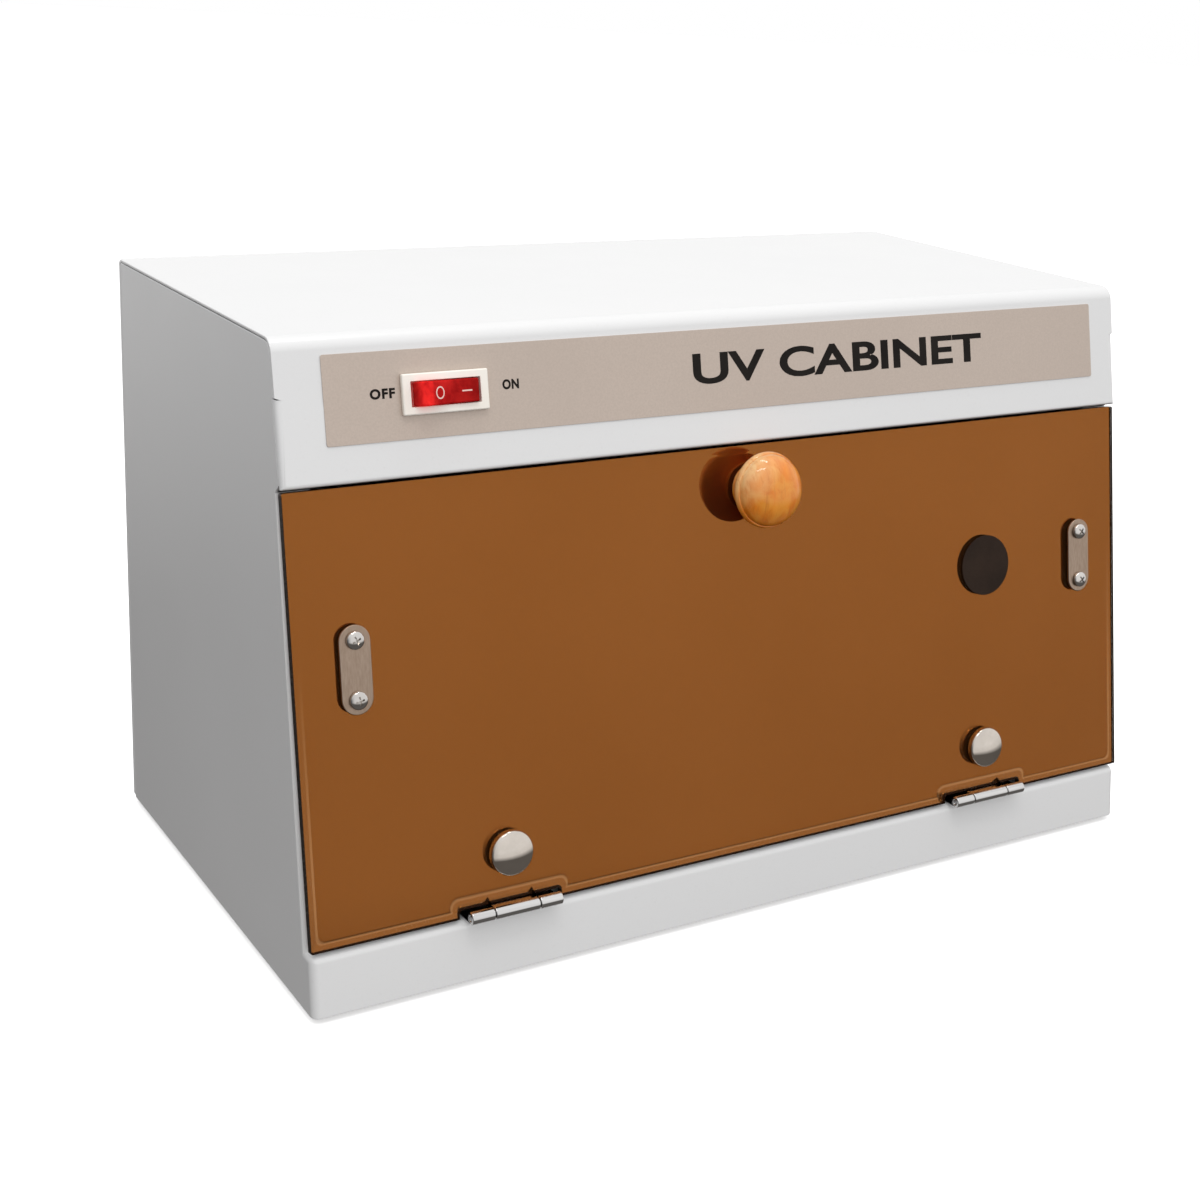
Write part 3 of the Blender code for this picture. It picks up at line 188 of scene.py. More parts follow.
def bump(tree, shader, layers):
    """Stacks bumps: layers are (height socket, strength, distance in metres)."""
    below = None
    for height, strength, distance in layers:
        made = tree.nodes.new("ShaderNodeBump")
        made.inputs["Strength"].default_value = strength
        made.inputs["Distance"].default_value = distance
        tree.links.new(height, made.inputs["Height"])
        if below is not None:
            tree.links.new(below, made.inputs["Normal"])
        below = made.outputs["Normal"]
    tree.links.new(below, shader.inputs["Normal"])


def painted_steel():
    """Glossy white stove enamel with a faint orange peel and slightly uneven tone and gloss."""
    made, tree, shader = new_look("white_enamel", (0.79, 0.79, 0.795), 0.30, Coat_Weight=0.5,
                                  Coat_Roughness=0.09)
    cloud = spread(tree, noise(tree, 5, 3), 0.2, 0.8)
    base = blend_colours(tree, cloud, (0.80, 0.80, 0.802), (0.775, 0.777, 0.782))
    dust = spread(tree, noise(tree, 900, 2), 0.60, 0.80, 0.0, 0.3)
    paint(tree, shader, blend_colours(tree, dust, base, (0.70, 0.70, 0.695)))
    roughen(tree, shader, noise(tree, 30, 3), 0.3, 0.7, 0.29, 0.36)
    bump(tree, shader, [(noise(tree, 14, 2), 0.08, 0.0006), (noise(tree, 700, 2), 0.08, 0.00003)])
    return made


def metal(name, dark, light, rough, grain=(1, 1, 1), scale=300, depth=0.05):
    """Metal with fine marks along its grain and slightly uneven gloss."""
    made, tree, shader = new_look(name, light, rough, Metallic=1.0)
    marks = noise(tree, scale, 4, 0.6, grain)
    paint(tree, shader, blend_colours(tree, spread(tree, marks, 0.3, 0.7), dark, light))
    roughen(tree, shader, noise(tree, scale * 0.2, 3), 0.3, 0.7, rough * 0.85, rough * 1.25)
    bump(tree, shader, [(marks, depth, 0.00003)])
    return made


def plastic(name, dark, light, rough, grain=600, depth=0.12, **sockets):
    """Moulded plastic or rubber with a fine texture and slight mottling."""
    made, tree, shader = new_look(name, light, rough, **sockets)
    paint(tree, shader, blend_colours(tree, spread(tree, noise(tree, 60, 3), 0.35, 0.65), dark,
                                      light))
    fine = noise(tree, grain, 2)
    roughen(tree, shader, fine, 0.3, 0.7, rough * 0.9, rough * 1.15)
    bump(tree, shader, [(fine, depth, 0.00004)])
    return made


def amber_mirror(name, paler=0.0):
    """Amber mirror film: it shows its surroundings tinted brown. The paler line is a painted highlight that fades
    upwards.
    """
    made, tree, shader = new_look(name, (0.28, 0.103, 0.024), 0.035, Metallic=0.95)
    cloud = spread(tree, noise(tree, 9, 3), 0.3, 0.7)
    base = blend_colours(tree, cloud, (0.350, 0.128, 0.029), (0.322, 0.115, 0.024))
    grain = spread(tree, noise(tree, 1300, 2), 0.3, 0.7, 0.0, 0.10)
    base = blend_colours(tree, grain, base, (0.26, 0.088, 0.017))
    # Painted highlight: a pale orange mixed in by height, strongest low on the door and fading out upwards
    if paler:
        share = spread(tree, object_axis(tree, "Z"), 0.050, 0.120, paler, 0.0)
        base = blend_colours(tree, share, base, (0.62, 0.33, 0.15))
    paint(tree, shader, base)
    roughen(tree, shader, noise(tree, 25, 3), 0.3, 0.7, 0.03, 0.05)
    bump(tree, shader, [(noise(tree, 9, 2), 0.04, 0.0006)])
    return made


def clear_sheet():
    """The clear layer over the film: barely glossy, so what stands on it is seen twice."""
    made, tree, shader = new_look("clear_amber", (0.30, 0.12, 0.04), 0.06)
    bump(tree, shader, [(noise(tree, 9, 2), 0.04, 0.0006)])
    clear = tree.nodes.new("ShaderNodeBsdfTransparent")
    clear.inputs["Color"].default_value = (0.985, 0.97, 0.95, 1)
    mixed = tree.nodes.new("ShaderNodeMixShader")
    mixed.inputs["Fac"].default_value = 0.03
    tree.links.new(clear.outputs["BSDF"], mixed.inputs[1])
    tree.links.new(shader.outputs["BSDF"], mixed.inputs[2])
    tree.links.new(mixed.outputs["Shader"], tree.nodes["Material Output"].inputs["Surface"])
    return made


def varnished_wood():
    """Honey-coloured beech with growth lines, pores and varnish, and a painted sheen that makes it paler at the
    upper left.
    """
    made, tree, shader = new_look("varnished_beech", (0.72, 0.36, 0.12), 0.35, Coat_Weight=0.8,
                                  Coat_Roughness=0.035, Specular_IOR_Level=0.15)
    rings = tree.nodes.new("ShaderNodeTexWave")
    rings.wave_type = "BANDS"
    rings.bands_direction = "X"
    rings.inputs["Scale"].default_value = 70
    rings.inputs["Distortion"].default_value = 9.0
    rings.inputs["Detail"].default_value = 3.0
    rings.inputs["Detail Scale"].default_value = 0.6
    tree.links.new(object_coords(tree, (1, 0.35, 0.22), (0.2, 0.1, 0.5)), rings.inputs["Vector"])
    fibres = noise(tree, 900, 3, 0.6, (1, 0.3, 0.08))
    cloud = noise(tree, 210, 4, 0.6, (1, 1, 0.7), 0.8)
    base = blend_colours(tree, spread(tree, rings.outputs["Fac"], 0.1, 0.9, 0.0, 0.5),
                         (0.82, 0.245, 0.020), (0.68, 0.165, 0.009))
    base = blend_colours(tree, spread(tree, cloud, 0.42, 0.66, 0.0, 0.7), base,
                         (0.84, 0.345, 0.046))
    # Painted sheen: a pale honey colour laid over the knob's upper left by position, mottled by the cloud
    along = tree.nodes.new("ShaderNodeVectorMath")
    along.operation = "DOT_PRODUCT"
    along.inputs[1].default_value = PAINTED_SHEEN_ALONG
    tree.links.new(object_coords(tree), along.inputs[0])
    painted_sheen = tree.nodes.new("ShaderNodeMath")
    painted_sheen.operation = "MULTIPLY"
    tree.links.new(spread(tree, along.outputs["Value"], PAINTED_SHEEN_FROM, PAINTED_SHEEN_TO), painted_sheen.inputs[0])
    tree.links.new(spread(tree, cloud, 0.30, 0.62, 0.45, 0.95), painted_sheen.inputs[1])
    base = blend_colours(tree, painted_sheen.outputs["Value"], base, (0.87, 0.55, 0.25))
    paint(tree, shader, blend_colours(tree, spread(tree, fibres, 0.56, 0.72, 0.0, 0.45), base,
                                      (0.52, 0.14, 0.018)))
    bump(tree, shader, [(fibres, 0.08, 0.00004)])
    return made


def label_film():
    """Grey-beige satin film with a fine metallic grain."""
    made, tree, shader = new_look("label_film", (0.49, 0.42, 0.36), 0.38, Coat_Weight=0.25,
                                  Coat_Roughness=0.25, Metallic=0.15)
    grain = noise(tree, 1500, 2)
    cloud = noise(tree, 18, 3)
    base = blend_colours(tree, spread(tree, cloud, 0.3, 0.7), (0.575, 0.478, 0.410),
                         (0.545, 0.452, 0.388))
    paint(tree, shader, blend_colours(tree, spread(tree, grain, 0.35, 0.65, 0.0, 0.5), base,
                                      (0.49, 0.405, 0.345)))
    bump(tree, shader, [(grain, 0.10, 0.00003)])
    return made


def red_lens():
    """Lit translucent red plastic, brightest where the little lamp stands behind it."""
    made, tree, shader = new_look("red_lens", (0.55, 0.010, 0.010), 0.25, Coat_Weight=0.03,
                                  Coat_Roughness=0.06, Specular_IOR_Level=0.0)
    glow = spread(tree, noise(tree, 190, 3, 0.6, (1, 1, 1), 0.6), 0.25, 0.75)
    colour = blend_colours(tree, glow, (0.20, 0.003, 0.004), (0.44, 0.014, 0.012))
    paint(tree, shader, colour)
    tree.links.new(colour, shader.inputs["Emission Color"])
    along = spread(tree, object_axis(tree, "X"), SWITCH_AT[0] - ROCKER_HALF,
                   SWITCH_AT[0] + ROCKER_HALF)
    lamp = tree.nodes.new("ShaderNodeValToRGB")
    stops = [(0.0, 0.04), (0.03, 0.25), (0.07, 0.85), (0.11, 1.0), (0.20, 0.95), (0.245, 0.45),
             (0.42, 0.34), (0.60, 0.17), (0.84, 0.13), (0.92, 0.01)]
    while len(lamp.color_ramp.elements) < len(stops):
        lamp.color_ramp.elements.new(0.5)
    for element, (spot, level) in zip(lamp.color_ramp.elements, stops):
        element.position = spot
        element.color = (level, level, level, 1)
    tree.links.new(along, lamp.inputs["Fac"])
    bright = tree.nodes.new("ShaderNodeMath")
    bright.operation = "MULTIPLY"
    bright.inputs[1].default_value = 1.7
    tree.links.new(lamp.outputs["Color"], bright.inputs[0])
    tree.links.new(bright.outputs["Value"], shader.inputs["Emission Strength"])
    bump(tree, shader, [(noise(tree, 240, 2), 0.15, 0.0002)])
    return made


def quartz():
    """The tube's clear quartz glass."""
    made, tree, shader = new_look("quartz_glass", (0.93, 0.96, 1.0), 0.05,
                                  Transmission_Weight=0.85, IOR=1.46)
    bump(tree, shader, [(noise(tree, 60, 2), 0.04, 0.0002)])
    return made


looks = {
    "enamel": painted_steel(),
    "amber": amber_mirror("amber_mirror"),
    # The line and rim looks carry a painted highlight near the door's lower edges
    "amber_line_painted_highlight": amber_mirror("amber_line_painted_highlight", 0.62),
    "amber_rim_painted_highlight": amber_mirror("amber_rim_painted_highlight", 0.14),
    "clear": clear_sheet(),
    "amber_edge": plastic("amber_edge", (0.008, 0.004, 0.003), (0.016, 0.007, 0.004), 0.25, 600,
                          0.12, Specular_IOR_Level=0.15),
    "wood": varnished_wood(),
    "label": label_film(),
    "red": red_lens(),
    "quartz": quartz(),
    "chrome": metal("chrome", (0.60, 0.575, 0.55), (0.72, 0.69, 0.66), 0.045, (1, 1, 1), 90, 0.015),
    "cap_chrome": metal("cap_chrome", (0.60, 0.545, 0.49), (0.72, 0.655, 0.59), 0.045,
                        (1, 1, 1), 90, 0.015),
    "hinge_chrome": metal("hinge_chrome", (0.62, 0.61, 0.605), (0.74, 0.73, 0.72), 0.055,
                          (0.1, 4, 4), 200, 0.04),
    "satin": metal("satin_nickel", (0.360, 0.263, 0.198), (0.45, 0.343, 0.267), 0.33,
                   (6, 6, 0.5), 260, 0.10),
    "zinc": metal("zinc_steel", (0.50, 0.51, 0.53), (0.64, 0.65, 0.66), 0.34, (1, 1, 1), 120),
    "aluminium": metal("aluminium", (0.66, 0.67, 0.69), (0.80, 0.81, 0.82), 0.20, (0.2, 4, 4),
                       300),
    "brass": metal("brass", (0.55, 0.38, 0.12), (0.72, 0.54, 0.22), 0.28),
    "core": metal("core_steel", (0.12, 0.13, 0.14), (0.24, 0.25, 0.26), 0.45, (0.2, 0.2, 9), 260,
                  0.3),
    "cream": plastic("cream_plastic", (0.95, 0.90, 0.82), (0.98, 0.94, 0.87), 0.32, 900, 0.05,
                     Coat_Weight=0.2),
    "ink": plastic("label_ink", (0.010, 0.008, 0.007), (0.016, 0.013, 0.011), 0.6, 1500, 0.05,
                   Specular_IOR_Level=0.12),
    "pale_ink": plastic("rocker_ink", (0.80, 0.52, 0.46), (0.90, 0.62, 0.56), 0.35, 900, 0.05),
    "film": plastic("brown_film", (0.020, 0.011, 0.007), (0.030, 0.017, 0.011), 0.6, 1400, 0.06,
                    Specular_IOR_Level=0.15),
    "brown": plastic("brown_plastic", (0.07, 0.03, 0.014), (0.11, 0.05, 0.024), 0.42),
    "ferrite": plastic("ferrite", (0.035, 0.035, 0.04), (0.07, 0.07, 0.075), 0.5, 900, 0.3),
    "white_plastic": plastic("white_plastic", (0.74, 0.74, 0.71), (0.82, 0.82, 0.79), 0.38),
    "tape": plastic("winding_tape", (0.50, 0.33, 0.05), (0.66, 0.48, 0.09), 0.42, 400, 0.2),
    "rubber": plastic("black_rubber", (0.012, 0.012, 0.012), (0.03, 0.03, 0.03), 0.7, 700, 0.3),
    "cable": plastic("grey_cable", (0.24, 0.25, 0.27), (0.34, 0.35, 0.37), 0.5, 500, 0.1),
}


# ---------------------------------------------------------------- pieces


def add_piece(name, bm, look, body, replaced=(), edge=0.0, steps=2, crease=32):
    """Links a bmesh as a piece on a body; edge rounds its sharp edges."""
    mesh = bpy.data.meshes.new(name)
    bm.to_mesh(mesh)
    bm.free()
    mesh.shade_smooth()
    for slot in look if isinstance(look, (list, tuple)) else (look,):
        mesh.materials.append(looks[slot])
    made = bpy.data.objects.new(name, mesh)
    bpy.context.scene.collection.objects.link(made)
    if edge:
        rounding = made.modifiers.new("rounded_edges", "BEVEL")
        rounding.width = edge
        rounding.segments = steps
        rounding.limit_method = "ANGLE"
        rounding.angle_limit = math.radians(crease)
        rounding.use_clamp_overlap = False
    else:
        mesh.set_sharp_from_angle(angle=math.radians(crease))
    normals = made.modifiers.new("even_normals", "WEIGHTED_NORMAL")
    normals.keep_sharp = True
    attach(made, body)
    if replaced:
        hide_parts(*replaced)
    return made


def refined(node, look, edge=0.0, steps=2, crease=32):
    """The CAD node's own shape, cleaned of its facets' splits and with its edges rounded."""
    bm = bmesh.new()
    bm.from_mesh(nodes[node].data)
    bmesh.ops.remove_doubles(bm, verts=bm.verts, dist=2e-6)
    bmesh.ops.dissolve_limit(bm, angle_limit=math.radians(0.6), verts=bm.verts, edges=bm.edges)
    bmesh.ops.recalc_face_normals(bm, faces=bm.faces)
    return add_piece(node + "_shape", bm, look, body_of[node], [node], edge, steps, crease)


def lathe(profile, steps=64):
    """A turned solid about local Z; the profile is (radius, height) from axis to axis."""
    bm = bmesh.new()
    rings = []
    for radius, height in profile:
        count = steps if radius > 1e-6 else 1
        rings.append([bm.verts.new((radius * math.cos(2 * math.pi * i / count),
                                    radius * math.sin(2 * math.pi * i / count), height))
                      for i in range(count)])
    pairs = list(zip(rings, rings[1:]))
    if len(rings[0]) > 1:
        pairs.append((rings[-1], rings[0]))
    for low, high in pairs:
        for i in range(steps):
            j = (i + 1) % steps
            corners = [low[i % len(low)], low[j % len(low)], high[j % len(high)],
                       high[i % len(high)]]
            bm.faces.new(list(dict.fromkeys(corners)))
    bmesh.ops.recalc_face_normals(bm, faces=bm.faces)
    return bm


def softened(points, per_span=4):
    """A Catmull-Rom curve through (radius, height) points."""
    spots = [Vector(p) for p in points]
    ends = [2 * spots[0] - spots[1], *spots, 2 * spots[-1] - spots[-2]]
    path = []
    for a, b, c, d in zip(ends, ends[1:], ends[2:], ends[3:]):
        for i in range(per_span):
            t = i / per_span
            path.append(0.5 * (2 * b + (c - a) * t + (2 * a - 5 * b + 4 * c - d) * t ** 2
                               + (3 * b - a - 3 * c + d) * t ** 3))
    path.append(spots[-1])
    return [(max(p.x, 0.0), p.y) for p in path]


def placed(bm, matrix):
    bmesh.ops.transform(bm, matrix=matrix, verts=bm.verts)
    return bm


def boxes(sizes):
    """Boxes as (low corner, high corner) in one bmesh."""
    bm = bmesh.new()
    for low, high in sizes:
        size = [b - a for a, b in zip(low, high)]
        middle = [(a + b) / 2 for a, b in zip(low, high)]
        bmesh.ops.create_cube(bm, size=1, matrix=Matrix.Translation(middle)
                              @ Matrix.Diagonal((*size, 1)))
    return bm


def carved(solid, cutter):
    """The solid with the cutter taken out, as a new bmesh."""
    objects = []
    for bm in (solid, cutter):
        mesh = bpy.data.meshes.new("carving")
        bm.to_mesh(mesh)
        bm.free()
        objects.append(bpy.data.objects.new("carving", mesh))
        bpy.context.scene.collection.objects.link(objects[-1])
    hole = objects[0].modifiers.new("hole", "BOOLEAN")
    hole.operation = "DIFFERENCE"
    hole.solver = "EXACT"
    hole.object = objects[1]
    bpy.context.view_layer.update()
    shaped = objects[0].evaluated_get(bpy.context.evaluated_depsgraph_get())
    result = bmesh.new()
    result.from_mesh(shaped.data)
    for made in objects:
        mesh = made.data
        bpy.data.objects.remove(made)
        bpy.data.meshes.remove(mesh)
    return result


def cross_screw(node, matrix, head, height, shank, length, look):
    """A pan-head screw with a cross recess, its head's underside on the matrix's origin."""
    profile = [(0, -length), (shank * 0.7, -length), (shank, -length + shank * 0.4),
               (shank, -0.0001), (head - 0.0002, -0.00005), (head, 0.00015),
               (head, height * 0.40)]
    profile += [(head * math.cos(a), height * (0.40 + 0.60 * math.sin(a)))
                for a in (math.pi / 2 * i / 8 for i in range(1, 8))]
    profile.append((0, height))
    shape = lathe(profile, 40)
    reach, wide, deep, taper = head * 0.62, head * 0.13, height * 0.62, 0.62
    for across, along, depth, above in ((reach, wide, deep, 0.001),
                                        (wide, reach, deep * 0.999, 0.0011)):
        bar = boxes([((-across, -along, height - depth), (across, along, height + above))])
        for vert in bar.verts:
            if vert.co.z < height:
                vert.co.x *= taper
                vert.co.y *= taper
        shape = carved(shape, bar)
    return add_piece(node + "_shape", placed(shape, matrix), look, body_of[node], [node], 0, 2, 40)


# ---------------------------------------------------------------- cabinet

for shell in ("cabinet_body", "top_hood_cover", "rear_panel"):
    refined(shell, "enamel", 0.00028, 2, 40)
refined("ceiling_panel", "zinc", 0.0002)
refined("lamp_reflector", "aluminium", 0.0001)
refined("label_plate", "label", 0.00008)
refined("cord_bushing", "rubber", 0.0002)
for end in ("front", "rear"):
    for side in ("left", "right"):
        refined(f"foot_{end}_{side}", "rubber", 0.0001)


def lettering(name, words, matrix, height, width, thicken, look, body, spacing=1.0):
    """Thin raised letters of a given cap height and total width, centred on the matrix."""
    curve = bpy.data.curves.new(name, "FONT")
    curve.body = words
    curve.align_x = "CENTER"
    curve.align_y = "CENTER"
    curve.offset = thicken
    curve.space_character = spacing
    curve.extrude = 0.5
    curve.resolution_u = 6
    made = bpy.data.objects.new(name, curve)
    bpy.context.scene.collection.objects.link(made)
    bpy.context.view_layer.update()
    mesh = bpy.data.meshes.new_from_object(
        made.evaluated_get(bpy.context.evaluated_depsgraph_get()))
    bpy.data.objects.remove(made)
    bm = bmesh.new()
    bm.from_mesh(mesh)
    bpy.data.meshes.remove(mesh)
    bmesh.ops.remove_doubles(bm, verts=bm.verts, dist=1e-5)
    low = [min(v.co[k] for v in bm.verts) for k in range(3)]
    high = [max(v.co[k] for v in bm.verts) for k in range(3)]
    size = [b - a for a, b in zip(low, high)]
    middle = [(a + b) / 2 for a, b in zip(low, high)]
    scale = Matrix.Diagonal((width / size[0], height / size[1], 0.00005 / size[2], 1))
    placed(bm, matrix @ scale @ Matrix.Translation([-m for m in middle]))
    bmesh.ops.recalc_face_normals(bm, faces=bm.faces)
    return add_piece(name, bm, look, body)


def on_hood(x, up, out):
    return hood_frame @ Matrix.Translation((x, -out, up)) @ OUTWARD


lettering("label_words", "UV CABINET", on_hood(0.0420, 0.0283, INK_OUT), 0.0112, 0.134, 0.024,
          "ink", "cabinet")
for name, words, x, up, width, spacing in (("mark_off", "OFF", -0.1438, 0.0284, 0.0088, 1.16),
                                          ("mark_on", "ON", -0.0975, 0.0283, 0.0062, 1.10)):
    lettering(name, words, on_hood(x, up, INK_OUT), 0.0034, width, 0.045, "ink", "cabinet", spacing)

# Switch
refined("switch_housing", "cream", 0.00025, 3)
refined("switch_terminal_1", "brass", 0.0001)
refined("switch_terminal_2", "brass", 0.0001)
refined("switch_rocker", "red", 0.00055, 4, 12)

rocker_joint = joints["rocker_tilt"]
rocker_frame = (Matrix.Translation(rocker_joint["pos_m"]) @ Matrix.Rotation(-HOOD_TILT, 4, "X")
                @ Matrix.Rotation(ROCKER_TILT, 4, "Z"))


def on_rocker(u):
    """A frame on the rocker's face, u along it, facing out."""
    rise = (ROCKER_RIDGE[1] - ROCKER_DIP) / ROCKER_RIDGE[0]
    slope = math.atan(rise) * (1 if u > 0 else -1)
    out = ROCKER_DIP + abs(u) * rise
    return (rocker_frame @ Matrix.Translation((u, -out, 0)) @ Matrix.Rotation(-slope, 4, "Z")
            @ OUTWARD)


def ring_mark(width, height, stroke):
    """A flat oval ring standing on local XY."""
    steps = 48
    rise = MARK_RISE
    bm = bmesh.new()
    loops = []
    for shrink, z in ((0, 0), (0, rise), (stroke, rise), (stroke, 0)):
        loops.append([bm.verts.new(((width / 2 - shrink) * math.cos(2 * math.pi * i / steps),
                                    (height / 2 - shrink) * math.sin(2 * math.pi * i / steps), z))
                      for i in range(steps)])
    for a, b in zip(loops, loops[1:] + loops[:1]):
        for i in range(steps):
            j = (i + 1) % steps
            bm.faces.new((a[i], a[j], b[j], b[i]))
    bmesh.ops.recalc_face_normals(bm, faces=bm.faces)
    return bm


add_piece("rocker_mark_off", placed(ring_mark(0.0040, 0.0042, 0.00046), on_rocker(-0.0048)),
          "pale_ink", "rocker")
add_piece("rocker_mark_on",
          placed(boxes([((-0.0018, -0.00024, 0), (0.0018, 0.00024, MARK_RISE))]),
                 on_rocker(0.0059)), "pale_ink", "rocker")


# ---------------------------------------------------------------- door


def door_outline(inset):
    """The sheet's outline drawn in by inset, with a notch around each hinge barrel."""
    half = DOOR_WIDTH / 2 - inset
    corner = max(0.0006, inset * 0.9)
    soft = 0.0015 + inset * 0.5

    def arc(cx, cz, radius, start, turn=math.pi / 2):
        return [(cx + radius * math.cos(start + turn * i / 5),
                 cz + radius * math.sin(start + turn * i / 5)) for i in range(6)]

    points = arc(-half + corner, inset + corner, corner, math.pi)
    for s in (-1, 1):
        left = s * HINGE_X - NOTCH_WIDTH / 2 - inset
        right = s * HINGE_X + NOTCH_WIDTH / 2 + inset
        top = NOTCH_HEIGHT + inset * 1.4
        points.append((left, inset))
        points += arc(left + soft, top - soft, soft, math.pi, -math.pi / 2)
        points += arc(right - soft, top - soft, soft, math.pi / 2, -math.pi / 2)
        points.append((right, inset))
    points += arc(half - corner, inset + corner, corner, -math.pi / 2)
    points += arc(half - corner, DOOR_LENGTH - inset - corner, corner, 0)
    points += arc(-half + corner, DOOR_LENGTH - inset - corner, corner, math.pi / 2)
    return points


def make_door_layer(name, rings, look, slots):
    """One layer of the sheet from (inset, depth) rings, back first; slots give each ring's look.

    Near the door's top edge every ring but the first has the layer's main look.
    """
    bm = bmesh.new()
    loops = [[bm.verts.new((x, depth, z)) for x, z in door_outline(inset)]
             for inset, depth in rings]
    slot_of = {}
    for slot, (outer, inner) in zip(slots, zip(loops, loops[1:])):
        for i in range(len(outer)):
            j = (i + 1) % len(outer)
            made = bm.faces.new((outer[i], outer[j], inner[j], inner[i]))
            upper = min(outer[i].co.z, outer[j].co.z) > DOOR_LENGTH - 0.005
            slot_of[made] = 0 if upper and outer is not loops[0] else slot
    bm.faces.new(loops[-1])
    bm.faces.new(list(reversed(loops[0])))
    bmesh.ops.recalc_face_normals(bm, faces=bm.faces)
    for face, slot in slot_of.items():
        face.material_index = slot
    placed(bm, door_frame)
    return add_piece(name, bm, look, "door", ["door_panel"], 0, 2, 25)


FILM_FRONT = FILM_DEPTH + 0.00002
make_door_layer("door_sheet", [(0, FILM_DEPTH), (0, 0.00040), (0.0002, 0.00012), (0.0006, 0.0)],
                ("clear", "amber_edge"), (1, 0, 0))
make_door_layer("door_film", [(0, DOOR_THICK), (0, FILM_FRONT), (0.0005, FILM_FRONT),
                              (0.0022, FILM_FRONT + 0.00001), (0.0026, FILM_FRONT + 0.00006),
                              (0.0030, FILM_FRONT), (0.0036, FILM_FRONT)],
                ("amber", "amber_edge", "amber_rim_painted_highlight", "amber_line_painted_highlight"), (1, 1, 2, 3, 3, 0))
refined("inspection_disc", "film", 0.0001)
for side, s in (("left", -1), ("right", 1)):
    refined(f"outer_plate_{side}", "satin", 0.0003, 3)
    refined(f"strike_plate_{side}", "satin", 0.0002)
    for level, along in (("low", -1), ("high", 1)):
        spot = (s * PLATE_X, -0.0010 - GAP, PLATE_UP + along * PLATE_SCREW_SPACING / 2)
        turn = Matrix.Rotation(0.5 + 0.9 * along + s, 4, "Z")
        cross_screw(f"plate_screw_{level}_{side}",
                    door_frame @ Matrix.Translation(spot) @ OUTWARD @ turn, 0.0031, 0.0019,
                    0.0014, 0.0050, "chrome")

knob_profile = [(0, 0.0110), (0.0019, 0.0110), (0.0019, 0), (0.0088, 0)]
knob_profile += softened([(0.0091, 0.0008), (0.0084, 0.0024), (0.0069, 0.0041), (0.0067, 0.0052),
                          (0.0084, 0.0065), (0.0118, 0.0076), (0.0135, 0.0087), (0.0139, 0.0099),
                          (0.01365, 0.0110)], 4)
knob_profile += [(0.0134, 0.01135), (0.0131, 0.01135)]
knob_profile += softened([(0.0131, 0.0116), (0.0125, 0.0136), (0.0106, 0.0159), (0.0074, 0.0179),
                          (0.0035, 0.0188), (0, 0.0190)], 5)
knob_place = door_frame @ Matrix.Translation((KNOB_X, -GAP / 2, KNOB_UP)) @ OUTWARD
add_piece("knob_shape", placed(lathe(knob_profile, 96), knob_place), "wood", "door",
          ["door_knob"], 0, 2, 40)
screw_place = door_frame @ Matrix.Translation((KNOB_X, DOOR_THICK + GAP, KNOB_UP)) @ INWARD
cross_screw("knob_screw", screw_place, 0.0038, 0.0024, 0.0016, 0.0120, "zinc")

for side, s in (("left", -1), ("right", 1)):
    cap_profile = [(0, -0.0082), (0.0019, -0.0082), (0.0019, 0), (0.0077, 0), (0.0080, 0.0003)]
    cap_profile += [(0.0069 + 0.0011 * math.cos(a), 0.0019 + 0.0011 * math.sin(a))
                    for a in (math.radians(66) * k / 8 for k in range(9))]
    cap_profile += [(DOME_RADIUS * math.sin(a), 0.0045 - DOME_RADIUS * (1 - math.cos(a)))
                    for a in (math.radians(24.5) * k / 10 for k in range(9, -1, -1))]
    cap_place = door_frame @ Matrix.Translation((s * HINGE_X, -GAP / 2, CAP_UP)) @ OUTWARD
    add_piece(f"cap_shape_{side}", placed(lathe(cap_profile, 80), cap_place), "cap_chrome", "door",
              [f"hinge_cap_{side}"], 0, 2, 45)
    refined(f"hinge_door_leaf_{side}", "hinge_chrome", 0.00042)
    refined(f"hinge_base_leaf_{side}", "hinge_chrome", 0.00042)
    refined(f"hinge_nut_{side}", "zinc", 0.0002)
    refined(f"hinge_pin_{side}", "zinc", 0.0001)
    lowest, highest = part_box(f"hinge_base_screw_{side}")
    middle = (lowest + highest) / 2
    cross_screw(f"hinge_base_screw_{side}",
                Matrix.Translation((middle.x, middle.y, highest.z - 0.0012)), 0.0028, 0.0012,
                0.0014, 0.0050, "zinc")
    refined(f"catch_housing_{side}", "brown", 0.0002)
    refined(f"catch_magnet_{side}", "ferrite", 0.0002)
    refined(f"lamp_cap_{side}", "aluminium", 0.0003)
    refined(f"lamp_holder_{side}", "white_plastic", 0.0002)
    for level in ("low", "high"):
        lowest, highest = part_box(f"rear_screw_{level}_{side}")
        middle = (lowest + highest) / 2
        place = Matrix.Translation((middle.x, highest.y - 0.0013, middle.z)) @ INWARD
        cross_screw(f"rear_screw_{level}_{side}", place, 0.003, 0.0013, 0.0014, 0.0060, "zinc")


# ---------------------------------------------------------------- inside

refined("lamp_tube", "quartz", 0.0006, 3)
refined("ballast_core", "core", 0.0002)
refined("ballast_coil", "tape", 0.0008, 3)
refined("starter", "aluminium", 0.0002)
refined("starter_holder", "white_plastic", 0.0002)
for wire in ("wire_switch_to_ballast", "wire_ballast_to_lamp", "wire_starter_to_lamp"):
    refined(wire, "cable")
refined("wire_rack", "chrome", 0.0, 2, 50)


# ---------------------------------------------------------------- stage


